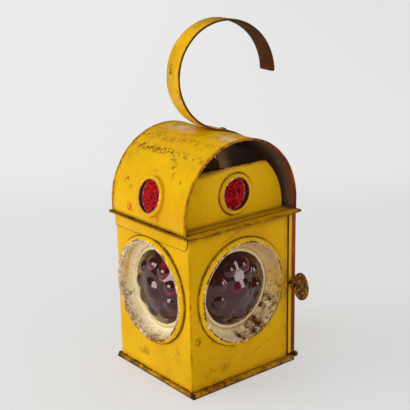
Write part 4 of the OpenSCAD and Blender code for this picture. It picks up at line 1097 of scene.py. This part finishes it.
class ROADLAMP_OT_hood(LampOperator, bpy.types.Operator):
    """Add the barrel hood with its rolled rims"""

    bl_idname = "road_lamp.hood"
    bl_label = "Hood"

    # the sheet ends this far inside the body's sides, within the rims
    inset = 0.6
    foot_width = 7

    def execute(self, context):
        paint = hood_paint()
        bm = bmesh.new()
        front, rear, middle = HOOD_Y - HOOD_R, HOOD_Y + HOOD_R, (LEDGE_TOP + HOOD_Z) / 2
        path = [(front, LEDGE_TOP), (front, middle), *arc((HOOD_Y, HOOD_Z), HOOD_R, 180, 0, 56),
                (rear, middle), (rear, LEDGE_TOP)]
        edges = chain(bm, [(-HALF_WIDTH + self.inset, y, z) for y, z in path])[1]
        drawn_out(bm, edges, (2 * (HALF_WIDTH - self.inset), 0, 0), 26)
        faced_out(bm, lambda face: face.normal.z)
        # no dents at the rims and along the foot
        uneven(bm, mm("dent") * 1.6, lump=30, seed=2.0, lock=lambda p: abs(p.x) > 60 or p.z < 176)
        thickened(finished(bm, "barrel_hood", paint, replaces=("hood_shell",)))
        for name, sign in ENDS:
            self.rim(name, sign)
        self.feet(paint)
        return {"FINISHED"}

    def rim(self, name, sign):
        """Rolled rim: a round bead that follows the hood's outline at one end."""
        roll = mm("rim_roll")
        bm = bmesh.new()
        ring = arc((sign * (HALF_WIDTH - roll), HOOD_Y - HOOD_R + roll * 0.72), roll, 0, 360, 12)[:-1]
        down = (0, 0, LEDGE_TOP - HOOD_Z)
        verts, edges = chain(bm, [(x, y, HOOD_Z) for x, y in ring], closed=True)
        drawn_out(bm, edges, down, 3)
        last = part_spun(bm, verts, edges, (0, HOOD_Y, HOOD_Z), (1, 0, 0), -math.pi, 72)
        drawn_out(bm, last, down, 3)
        bmesh.ops.remove_doubles(bm, verts=bm.verts, dist=1e-6)
        bmesh.ops.holes_fill(bm, edges=bm.edges)
        bmesh.ops.recalc_face_normals(bm, faces=bm.faces)
        uneven(bm, 0.25, lump=8, seed=3.0 + sign)
        finished(bm, "hood_rim_" + name, rim_paint())

    def feet(self, paint):
        """Feet folded in along the hood's lower edges, on the ledge."""
        sheet = mm("sheet")
        off_middle = HOOD_R - sheet - self.foot_width / 2
        for name, y in (("front", HOOD_Y - off_middle), ("rear", HOOD_Y + off_middle)):
            bm = bmesh.new()
            box(bm, (2 * HALF_WIDTH - 4, self.foot_width, sheet), (0, y, LEDGE_TOP + sheet / 2))
            bevelled(bm, bm.edges[:], 0.3)
            finished(bm, "hood_foot_" + name, paint)


class ROADLAMP_OT_panels(LampOperator, bpy.types.Operator):
    """Add the recessed end panels with their foot flanges"""

    bl_idname = "road_lamp.panels"
    bl_label = "End panels"

    bend = 2.0
    # the arc of the panel's top is struck from this far below the hood's middle
    arc_drop = 7.0

    def execute(self, context):
        paint = panel_paint()
        bend, radius, mid_z = self.bend, PANEL_HIGH.y - HOOD_Y, HOOD_Z - self.arc_drop
        half_top = math.degrees(math.asin((PANEL_HIGH.z - mid_z) / radius))
        low = LEDGE_TOP + mm("sheet") + bend
        outline = [(HOOD_Y + radius, low), *arc((HOOD_Y, mid_z), radius, 0, half_top, 14),
                   *arc((HOOD_Y, mid_z), radius, 180 - half_top, 180, 14), (HOOD_Y - radius, low)]
        for name, sign in ENDS:
            bm = bmesh.new()
            face = bm.faces.new(vertices(bm, [(sign * PANEL_FACE_X, y, z) for y, z in outline]))
            foot = [e for e in face.edges if all(abs(v.co.z - low * MM) < 1e-6 for v in e.verts)]
            centre = (sign * (PANEL_FACE_X + bend), HOOD_Y, low)
            last = part_spun(bm, list(foot[0].verts), foot, centre, (0, 1, 0), -sign * math.pi / 2, 5)
            drawn_out(bm, last, (sign * (PANEL_FLANGE - bend), 0, 0), 1)
            bmesh.ops.remove_doubles(bm, verts=bm.verts, dist=1e-6)
            faced_out(bm, lambda face: face.normal.x * sign)
            piece = finished(bm, "end_panel_%s_finished" % name, paint,
                             replaces=("end_panel_" + name,))
            thickened(piece)
            eased(piece, 0.3)
        return {"FINISHED"}


class ROADLAMP_OT_chimney(LampOperator, bpy.types.Operator):
    """Finish the chimney tube and the heat baffle under the hood"""

    bl_idname = "road_lamp.chimney"
    bl_label = "Chimney"

    def execute(self, context):
        # the lining's soot colour at half strength: soot, darkened further as painted shade under the hood
        black = [level * 0.5 for level in colours().soot]
        soot = plain_metal("steel with soot and painted shade", black, 0.8, metallic=0.0, stain=0.3, shift=3)
        painted(["chimney_tube", "heat_baffle"], soot)
        return {"FINISHED"}


class ROADLAMP_OT_hook(LampOperator, bpy.types.Operator):
    """Add the strip-steel hook, its backing plate and its rivets"""

    bl_idname = "road_lamp.hook"
    bl_label = "Hook"

    # how far the strap is turned from the hood's middle line, and the angles on the hood, from its
    # crown towards the rear, where the strap lifts off and where its root ends
    yaw = math.radians(9.5)
    leave = math.radians(10.8)
    root = math.radians(48.0)

    def execute(self, context):
        width, thick, loop_r = mm("strap_width", "strap_thickness", "hook_radius")
        self.leave_y = HOOD_Y + HOOD_R * math.sin(self.leave)
        self.leave_z = HOOD_Z + HOOD_R * math.cos(self.leave)
        neutral = loop_r - thick / 2
        root_length = HOOD_R * (self.root - self.leave) / math.cos(self.yaw)
        total = root_length + neutral * (math.pi * 1.5 - self.leave)
        bm = self.flat_strap(width, total, thick)
        for vert in bm.verts:
            across, along, height = (length / MM for length in vert.co)
            along += total / 2 - root_length
            vert.co = Vector(self.bent(across, along, height + thick / 2, neutral, loop_r)) * MM
        bmesh.ops.recalc_face_normals(bm, faces=bm.faces)
        uneven(bm, 0.25, lump=22, seed=6.0, lock=lambda p: p.z < HOOD_HIGH.z + 3)
        ahead = loop_r * math.sin(self.leave)
        loop_x = ahead * math.sin(self.yaw)
        loop_y = self.leave_y + ahead * math.cos(self.yaw)
        loop_z = self.leave_z + loop_r * math.cos(self.leave)
        finish = hook_paint(loop_x, loop_y, loop_z, loop_r, self.yaw)
        finished(bm, "strip_hook", finish, replaces=("hook_strap",))
        painted(["hook_backing"], rusty_steel("dark steel", shift=6.0))
        painted(["hook_rivets"], rusty_steel("rivet steel", paint_left=0.5, shift=9.0))
        return {"FINISHED"}

    def flat_strap(self, width, length, thick):
        """The strap before it is bent, cut across and along so that it can bend smoothly."""
        bm = bmesh.new()
        box(bm, (width, length, thick))
        bevelled(bm, [e for e in bm.edges if abs(e.verts[0].co.z - e.verts[1].co.z) > 1e-6], 2.0, segments=3)
        bevelled(bm, [e for e in bm.edges if e.calc_face_angle(0) > 0.6], 0.5)
        for span, cuts, across in ((length, 110, Vector((0, 1, 0))), (width, 6, Vector((1, 0, 0)))):
            for i in range(1, cuts):
                bmesh.ops.bisect_plane(bm, geom=bm.verts[:] + bm.edges[:] + bm.faces[:], dist=1e-7,
                                       plane_co=across * (-span / 2 + span * i / cuts) * MM, plane_no=across)
        return bm

    def bent(self, across, along, height, neutral, loop_r):
        """Place of a point of the flat strap once it is bent: behind 0 on the hood, then round the loop."""
        side_x = across * math.cos(self.yaw)
        side_y = -across * math.sin(self.yaw)
        if along < 0:
            back = -along * math.cos(self.yaw) + side_y
            angle = self.leave + back / HOOD_R
            radius = HOOD_R + height
            return (side_x - along * math.sin(self.yaw), HOOD_Y + radius * math.sin(angle),
                    HOOD_Z + radius * math.cos(angle))
        angle = math.pi * 1.5 - self.leave - along / neutral
        radius = loop_r - height
        ahead = loop_r * math.sin(self.leave) + radius * math.cos(angle)
        up = loop_r * math.cos(self.leave) + radius * math.sin(angle)
        return (side_x + ahead * math.sin(self.yaw), self.leave_y + ahead * math.cos(self.yaw) + side_y,
                self.leave_z + up)


class ROADLAMP_OT_bezels(LampOperator, bpy.types.Operator):
    """Add the three dished bezels"""

    bl_idname = "road_lamp.bezels"
    bl_label = "Bezels"

    # radius of the crest's inner turn, and length of the rear tube
    turn = 1.5
    tube = 9.0

    def execute(self, context):
        outline = self.outline()
        for side in SIDES:
            bm = spun(outline, 144)
            uneven(bm, 0.3, lump=14, seed=5.0)
            set_at(bm, face_place(side, *lens_centre(side)))
            finished(bm, "dished_bezel_" + side, bezel_paint(side),
                     replaces=("bezel_" + side,))
        return {"FINISHED"}

    def outline(self):
        """Lip on the face, crest, dish wall, flat ring and rear tube, as (radius, height)."""
        lip_r, crest_r, crest_h = mm("bezel_radius", "crest_radius", "crest_height")
        floor_r, depth, hole, sheet = mm("dish_radius", "dish_depth", "lens_opening", "sheet")
        lip, under = lip_r - crest_r, -depth - sheet
        wall_z = crest_h - self.turn
        wall_r = crest_r - self.turn - floor_r
        return [
            *arc((crest_r, 0), lip, 0, 90, 12, crest_h),
            *arc((crest_r, wall_z), self.turn, 105, 180, 6),
            *arc((floor_r, wall_z), wall_r, -6, -90, 16, wall_z + depth),
            (hole + 3.6, -depth), (hole + 3.0, -depth + 0.2),
            *arc((hole + 1.5, -depth + 0.1), 1.5, 25, 180, 9, 1.3),
            (hole, -depth - sheet * 0.6), (hole + 0.4, under),
            (floor_r, under), (floor_r, under - self.tube),
            (floor_r + sheet, under - self.tube), (floor_r + sheet, -depth - sheet * 0.6),
            *arc((floor_r, wall_z), wall_r + sheet, -82, 0, 12, wall_z + depth + sheet),
            *arc((crest_r, 0), lip - sheet, 90, 0, 8, crest_h - sheet),
        ]


class ROADLAMP_OT_lenses(LampOperator, bpy.types.Operator):
    """Add the three bull's-eye lenses, their gaskets and spring rings"""

    bl_idname = "road_lamp.lenses"
    bl_label = "Lenses"

    flange = 3.0
    # how far the dome starts in front of the flange
    step = 2.5
    # the outline stops this many degrees short of the axis
    short = 0.05
    # edges between bump and dome sharper than this many degrees stay sharp
    crease = 30

    def execute(self, context):
        for side in SIDES:
            bm = self.lens(math.radians(LENS_TURNS[side]))
            set_at(bm, face_place(side, *lens_centre(side)))
            finished(bm, "bulls_eye_" + side, ruby_glass(side),
                     replaces=("lens_" + side,), crease=self.crease)
        painted(["gasket_" + side for side in SIDES], woven("cord gasket", 0.7))
        spring = rusty_steel("ring steel", paint_left=0.2, shift=12.0)
        painted(["retainer_" + side for side in SIDES], spring)
        return {"FINISHED"}

    def lens(self, turn):
        """Dome with a ring of bumps round a middle one, flange and hollow back."""
        dome, edge, outer_r = mm("dome_radius"), mm("lens_opening") - 0.5, mm("dish_radius") - 0.2
        foot = -mm("dish_depth") - mm("sheet") - 1.0
        back = foot - self.flange
        centre = foot + self.step - math.sqrt(dome * dome - edge * edge)
        inside = dome - self.flange
        reach = min(edge - self.flange, inside * math.sin(math.acos((back - centre) / inside)))
        half, half_in = (math.degrees(math.asin(part)) for part in (edge / dome, reach / inside))
        top = 90 - self.short
        bm = spun([*arc((0, centre), dome, top, 90 - half, 46), (edge, foot), (outer_r, foot),
                   (outer_r, back), (reach, back), *arc((0, centre), inside, 90 - half_in, top, 20)], 150)
        bmesh.ops.holes_fill(bm, edges=bm.edges)
        shell = Vector((0, 0, centre)) * MM
        balls = [(Vector((0, 0, 1)), *mm("eye_radius", "eye_height"))]
        tilt = math.asin(mm("bump_pitch") / dome)
        for i in range(LENS_BUMPS):
            angle, across = turn + math.tau * i / LENS_BUMPS, math.sin(tilt)
            axis = Vector((across * math.cos(angle), across * math.sin(angle), math.cos(tilt)))
            balls.append((axis, *mm("bump_radius", "bump_height")))
        for vert in bm.verts:
            ray = (vert.co - shell) / MM
            if abs(ray.length - dome) > 0.05:
                continue
            ray.normalize()
            vert.co = shell + ray * self.bumped(ray, balls, dome) * MM
        bmesh.ops.recalc_face_normals(bm, faces=bm.faces)
        return bm

    def bumped(self, ray, balls, dome):
        """Distance of the glass from the dome's centre along a ray, soft where a bump meets the dome."""
        best = dome
        for axis, radius, height in balls:
            away = dome + height - radius
            cosine = min(1.0, ray.dot(axis))
            inside = radius * radius - away * away * (1 - cosine * cosine)
            if cosine > 0.5 and inside > 0:
                reach = away * cosine + math.sqrt(inside)
                blend = max(0.0, 1 - abs(reach - best) / 0.6)
                best = max(best, reach) + blend * blend * 0.12
        return best


class ROADLAMP_OT_reflectors(LampOperator, bpy.types.Operator):
    """Add the three reflectors: ring, silvered rim and prism glass"""

    bl_idname = "road_lamp.reflectors"
    bl_label = "Reflectors"

    # how far the front reflector looks up, and how the prisms lie on the glass, in degrees
    front_tilt = 14
    prism_turn = 20

    def execute(self, context):
        glass = mm("glass_radius")
        ring_finish = worn_paint("ring paint", age=0.6, grime=0.5, shift=13.0)
        rim_finish, glass_finish = silver_rim(), reflector_glass()
        for side, place in self.places().items():
            ring = spun(self.ring_outline(side, glass), 96)
            finished(set_at(ring, place), "reflector_ring_%s_finished" % side, ring_finish,
                     replaces=("reflector_ring_" + side,))
            # a thin bead between ring and glass
            bead = spun(arc((glass - 0.8, 1.5), 0.75, 0, 330, 11), 96)
            finished(set_at(bead, place), "reflector_rim_" + side, rim_finish)
            finished(set_at(self.prisms(glass - 0.4), place), "reflector_prisms_" + side, glass_finish,
                     replaces=("reflector_glass_" + side,), crease=12)
        painted(["reflector_backs"], plain_metal("silvered back", colours().silver, 0.3, stain=0.4))
        return {"FINISHED"}

    def places(self):
        """Where each reflector sits: its ring's foot and its outward direction."""
        tilt = math.radians(self.front_tilt)
        low, high = node_box("reflector_ring_front")
        out = Vector((0, -math.cos(tilt), math.sin(tilt)))
        up = Vector((0, math.sin(tilt), math.cos(tilt)))
        foot = Vector(((low.x + high.x) / 2, HOOD_Y, HOOD_Z)) + out * HOOD_R
        turn = Matrix(((1, 0, 0), up, out)).transposed().to_4x4()
        low, high = node_box("reflector_ring_right")
        middle = (low + high) / 2
        places = {"front": Matrix.Translation(foot * MM) @ turn}
        for side, _ in ENDS:
            places[side] = face_place(side, middle.y, middle.z, PANEL_FACE_X - HALF_WIDTH)
        return places

    def ring_outline(self, side, glass):
        outer = mm("ring_radius")
        foot = -3.2 if side == "front" else 0.0
        return [(outer - 1.6, -5.0), (outer - 1.6, foot), (outer, foot), (outer, 1.0),
                *arc((outer - 1.1, 1.5), 1.1, 0, 90, 5), (outer - 1.8, 2.3),
                *arc((glass + 0.6, 1.6), 0.9, 80, 180, 5), (glass - 0.3, 0.6), (glass - 0.3, -5.0)]

    def prisms(self, radius):
        """Disc of small pyramids on a shallow dome."""
        reach = radius * MM
        count = int(2 * radius / mm("facet")) + 1
        bm = bmesh.new()
        bmesh.ops.create_grid(bm, x_segments=count, y_segments=count, size=reach)
        bmesh.ops.rotate(bm, cent=(0, 0, 0), matrix=Matrix.Rotation(math.radians(self.prism_turn), 3, "Z"),
                         verts=bm.verts)
        for vert in bm.verts:
            if vert.co.to_2d().length > reach:
                vert.co.xy = vert.co.to_2d().normalized() * reach
        bmesh.ops.remove_doubles(bm, verts=bm.verts, dist=0.5 * MM)
        for vert in bm.verts:
            point = vert.co / (3 * MM)
            jitter = Vector((noise.noise(point + Vector((9.3, -1.5, -8.0))), noise.noise(point))) * 0.35 * MM
            if vert.co.to_2d().length < reach * 0.96:
                vert.co.xy += jitter
        bmesh.ops.poke(bm, faces=bm.faces[:], offset=0.62 * MM)
        for vert in bm.verts:
            fall = (vert.co.to_2d().length / reach) ** 2
            vert.co.z += (1.6 - 1.3 * fall) * MM
        skirt = bmesh.ops.extrude_edge_only(bm, edges=[e for e in bm.edges if e.is_boundary])["geom"]
        for item in skirt:
            if isinstance(item, bmesh.types.BMVert):
                item.co.z = -1.2 * MM
        bmesh.ops.holes_fill(bm, edges=[e for e in bm.edges if e.is_boundary])
        bmesh.ops.recalc_face_normals(bm, faces=bm.faces)
        return bm


class ROADLAMP_OT_door(LampOperator, bpy.types.Operator):
    """Add the door pan, its edge wire, wind baffle and hinges"""

    bl_idname = "road_lamp.door"
    bl_label = "Door"

    def execute(self, context):
        dressed("door_pan", 0.35, door_paint(), "door")
        painted(["door_edge_wire"], rusty_steel("edge wire steel", shift=15.0))
        inside = plain_metal("door lining", colours().ochre, 0.6, metallic=0.0, stain=0.8, shift=25)
        painted(["door_wind_baffle"], inside)
        hinge = rusty_steel("hinge steel", paint_left=0.6, shift=18.0)
        dressed("hinge_leaves_body", 0.15, hinge)
        dressed("hinge_leaves_door", 0.15, hinge, "door")
        pins = rusty_steel("pin steel", paint_left=0.1, shift=20.0)
        painted(["hinge_pins", "hinge_rivets"], pins)
        return {"FINISHED"}


class ROADLAMP_OT_latch(LampOperator, bpy.types.Operator):
    """Add the thumb plate, tongue and nut of the door latch"""

    bl_idname = "road_lamp.latch"
    bl_label = "Latch"

    plate_thickness = 4.2
    # middles of the oval tip, inward from its outer end, and of the hub, outward from the body
    tip_inward = 10.9
    hub_outward = 5.6

    def execute(self, context):
        self.thumb_plate(rusty_steel("thumb plate steel", paint_left=0.45, shift=24.0, light=0.1))
        painted(["latch_cam", "latch_nut"], rusty_steel("tongue steel", shift=27.0))
        return {"FINISHED"}

    def thumb_plate(self, steel):
        """Cast oval plate on a stubby hub, rough with rust."""
        low, high = node_box("latch_wing")
        middle = (low + high) / 2
        hub_x = BODY_HIGH.x + self.hub_outward
        bm = bmesh.new()

        def add(x, radius, depth, segments, turn):
            drum(bm, radius, depth, segments, Matrix.Translation(Vector((x, middle.y, middle.z)) * MM) @ turn)

        upright = Matrix.Rotation(math.pi / 2, 4, "X")
        outward = Matrix.Rotation(math.pi / 2, 4, "Y")
        lean = Matrix.Rotation(math.radians(-5), 4, "Y")
        add(high.x - self.tip_inward, 10.0, self.plate_thickness, 40,
            lean @ upright @ Matrix.Diagonal((1.03, 1.52, 1, 1)))
        add(hub_x, 4.6, self.plate_thickness, 28, upright @ Matrix.Diagonal((1, 1.8, 1, 1)))
        bevelled(bm, [e for e in bm.edges if e.calc_face_angle(0) > 0.8], 1.5, segments=4, profile=0.6)
        add((low.x + hub_x) / 2, 1.6, hub_x - low.x, 20, outward)
        add(BODY_HIGH.x + 1.0, 3.2, 1.8, 20, outward)
        finished(bm, "thumb_plate", steel, "latch", ("latch_wing",))


class ROADLAMP_OT_tank(LampOperator, bpy.types.Operator):
    """Finish the paraffin tank, its clips, pull strap and filler"""

    bl_idname = "road_lamp.tank"
    bl_label = "Paraffin tank"

    def execute(self, context):
        tin = plain_metal("tinplate", colours().tin, 0.35, stain=0.6, shift=31)
        painted(["fount_tank", "fount_clips", "fount_pull", "winder_spindle"], tin)
        painted(["filler_washer"], cork())
        return {"FINISHED"}


class ROADLAMP_OT_burner(LampOperator, bpy.types.Operator):
    """Finish the brass burner, its winder and its wick"""

    bl_idname = "road_lamp.burner"
    bl_label = "Burner"

    def execute(self, context):
        brass = plain_metal("burner brass", colours().brass, 0.32, stain=0.65, shift=35)
        painted(["filler_cap", "burner_collar", "burner_cup", "burner_cone", "wick_tube", "winder_wheels",
                 "winder_knob"], brass)
        wick_top = node_box("wick")[1].z
        painted(["wick"], woven("cotton wick", 0.8, char_from=wick_top - 2))
        return {"FINISHED"}


class ROADLAMP_OT_stage(LampOperator, bpy.types.Operator):
    """Add the pale floor, the soft lights and the camera"""

    bl_idname = "road_lamp.stage"
    bl_label = "Stage"

    # where the camera stands, in millimetres, and how it is turned, in degrees
    camera_place = (722.0, -574.1, 448.5)
    camera_turn = (73.63, 0.96, 50.94)
    lens_length = 79.7
    # strength of the room's even light, and of the dim room that glossy surfaces mirror
    room_light = 0.7
    room_in_glass = 0.12
    room_colour = (0.95, 0.97, 1.0, 1.0)
    # where the softboxes point, and half the floor's width, in metres
    aim = Vector((0, 0, 0.15))
    floor_reach = 14.0
    # name, place, width and height in metres, power in watts, and what it lights
    windows = (
        ("soft window", (-1.9, -3.0, 1.6), (2.6, 2.2), 50, "diffuse"),
        ("soft front window", (0.9, -2.8, 0.7), (1.6, 1.2), 13, "diffuse"),
        ("left window", (-0.45, -2.45, 0.53), (1.5, 1.0), 36, "glossy"),
        ("right window upper", (2.1, 1.38, 0.92), (0.95, 0.66), 11, "glossy"),
        ("right window lower", (2.1, 1.38, 0.28), (0.95, 0.5), 8, "glossy"),
    )

    def execute(self, context):
        self.camera()
        bm = bmesh.new()
        bmesh.ops.create_grid(bm, x_segments=8, y_segments=8, size=self.floor_reach)
        floor = placed(bm, "floor")
        floor.data.materials.append(self.floor_finish())
        self.room()
        for window in self.windows:
            self.softbox(*window)
        return {"FINISHED"}

    def camera(self):
        data = bpy.data.cameras.new("camera")
        data.sensor_width = 36.0
        data.lens = self.lens_length
        data.clip_end = 100.0
        camera = bpy.data.objects.new("camera", data)
        camera.location = Vector(self.camera_place) * MM
        camera.rotation_euler = [math.radians(angle) for angle in self.camera_turn]
        bpy.context.scene.collection.objects.link(camera)
        bpy.context.scene.camera = camera

    def floor_finish(self):
        """Plain floor round the lamp that keeps its shadow, and an even pale backdrop further off."""
        c = colours()
        m = Finish("floor", c.floor, roughness=0.9, specular=0.0)
        m.lay(m.noise(400, 2) * 0.04, c.backdrop_right)
        m.link(m.tone, m.shader.inputs["Base Color"])
        to_right = m.x * 0.63 + m.y * 0.776
        away = m.x * -0.78 + m.y * 0.62
        far = m.far(m.x, m.y).rise(420, 1100).most(away.rise(260, 900)).most(0.45)
        backdrop = m.blend(to_right.rise(-900, 1200), c.backdrop_left, c.backdrop_right)
        glow = m.add("Emission", {"Color": backdrop}).outputs["Emission"]
        path = m.add("LightPath").outputs
        camera, glossy, through = (Field(m, path["Is %s Ray" % kind])
                                   for kind in ("Camera", "Glossy", "Transmission"))
        mix = m.add("MixShader", {"Fac": far * camera.most(glossy).most(through),
                                  1: m.shader.outputs["BSDF"], 2: glow})
        m.link(mix.outputs["Shader"], m.tree.nodes["Material Output"].inputs["Surface"])
        return m.material

    def room(self):
        """Even light from all round, dimmer where glossy surfaces mirror it."""
        world = bpy.data.worlds.new("studio")
        world.use_nodes = True
        tree = world.node_tree
        path = add_node(tree, "LightPath").outputs
        level = add_node(tree, "MapRange", {"To Min": self.room_light, "To Max": self.room_in_glass,
                                            "Value": path["Is Glossy Ray"]})
        sky = tree.nodes["Background"]
        join(tree, self.room_colour, sky.inputs["Color"])
        join(tree, level.outputs["Result"], sky.inputs["Strength"])
        # straight past the floor the camera meets the same backdrop that the floor fades into
        wall = add_node(tree, "Background", {"Color": (*colours().backdrop_left, 1.0)})
        mix = add_node(tree, "MixShader", {"Fac": path["Is Camera Ray"], 1: sky.outputs["Background"],
                                           2: wall.outputs["Background"]})
        join(tree, mix.outputs["Shader"], tree.nodes["World Output"].inputs["Surface"])
        bpy.context.scene.world = world

    def softbox(self, name, place, size, power, lights):
        """A rectangular lamp that faces the middle of the object."""
        data = bpy.data.lights.new(name, "AREA")
        data.shape = "RECTANGLE"
        data.size, data.size_y = size
        data.energy = power
        light = bpy.data.objects.new(name, data)
        light.visible_diffuse = lights == "diffuse"
        light.visible_glossy = lights == "glossy"
        spot = Vector(place)
        turn = (self.aim - spot).to_track_quat("-Z", "Y").to_matrix().to_4x4()
        light.matrix_world = Matrix.Translation(spot) @ turn
        bpy.context.scene.collection.objects.link(light)


PIECES = (
    ROADLAMP_OT_foot, ROADLAMP_OT_body, ROADLAMP_OT_ledge, ROADLAMP_OT_hood, ROADLAMP_OT_panels,
    ROADLAMP_OT_chimney, ROADLAMP_OT_hook, ROADLAMP_OT_bezels, ROADLAMP_OT_lenses,
    ROADLAMP_OT_reflectors, ROADLAMP_OT_door, ROADLAMP_OT_latch, ROADLAMP_OT_tank,
    ROADLAMP_OT_burner, ROADLAMP_OT_stage,
)


class ROADLAMP_PT_sidebar(bpy.types.Panel):
    """Lists the lamp's sizes, colours and pieces"""

    bl_idname = "ROADLAMP_PT_sidebar"
    bl_label = "Road Lamp"
    bl_space_type = "VIEW_3D"
    bl_region_type = "UI"
    bl_category = "Road Lamp"

    def draw(self, context):
        layout = self.layout
        for group in (context.scene.road_lamp_sizes, context.scene.road_lamp_colours):
            column = layout.column(align=True)
            for name in group.__annotations__:
                column.prop(group, name)
        column = layout.column(align=True)
        for piece in PIECES:
            column.operator(piece.bl_idname)


CLASSES = (RoadLampSizes, RoadLampColours, *PIECES, ROADLAMP_PT_sidebar)


def register():
    for cls in CLASSES:
        bpy.utils.register_class(cls)
    bpy.types.Scene.road_lamp_sizes = PointerProperty(type=RoadLampSizes)
    bpy.types.Scene.road_lamp_colours = PointerProperty(type=RoadLampColours)


def unregister():
    del bpy.types.Scene.road_lamp_colours
    del bpy.types.Scene.road_lamp_sizes
    for cls in reversed(CLASSES):
        bpy.utils.unregister_class(cls)


def main():
    register()
    bpy.context.scene.view_settings.view_transform = "Standard"
    for piece in PIECES:
        group, name = piece.bl_idname.split(".")
        getattr(getattr(bpy.ops, group), name)()


if __name__ == "__main__":
    main()
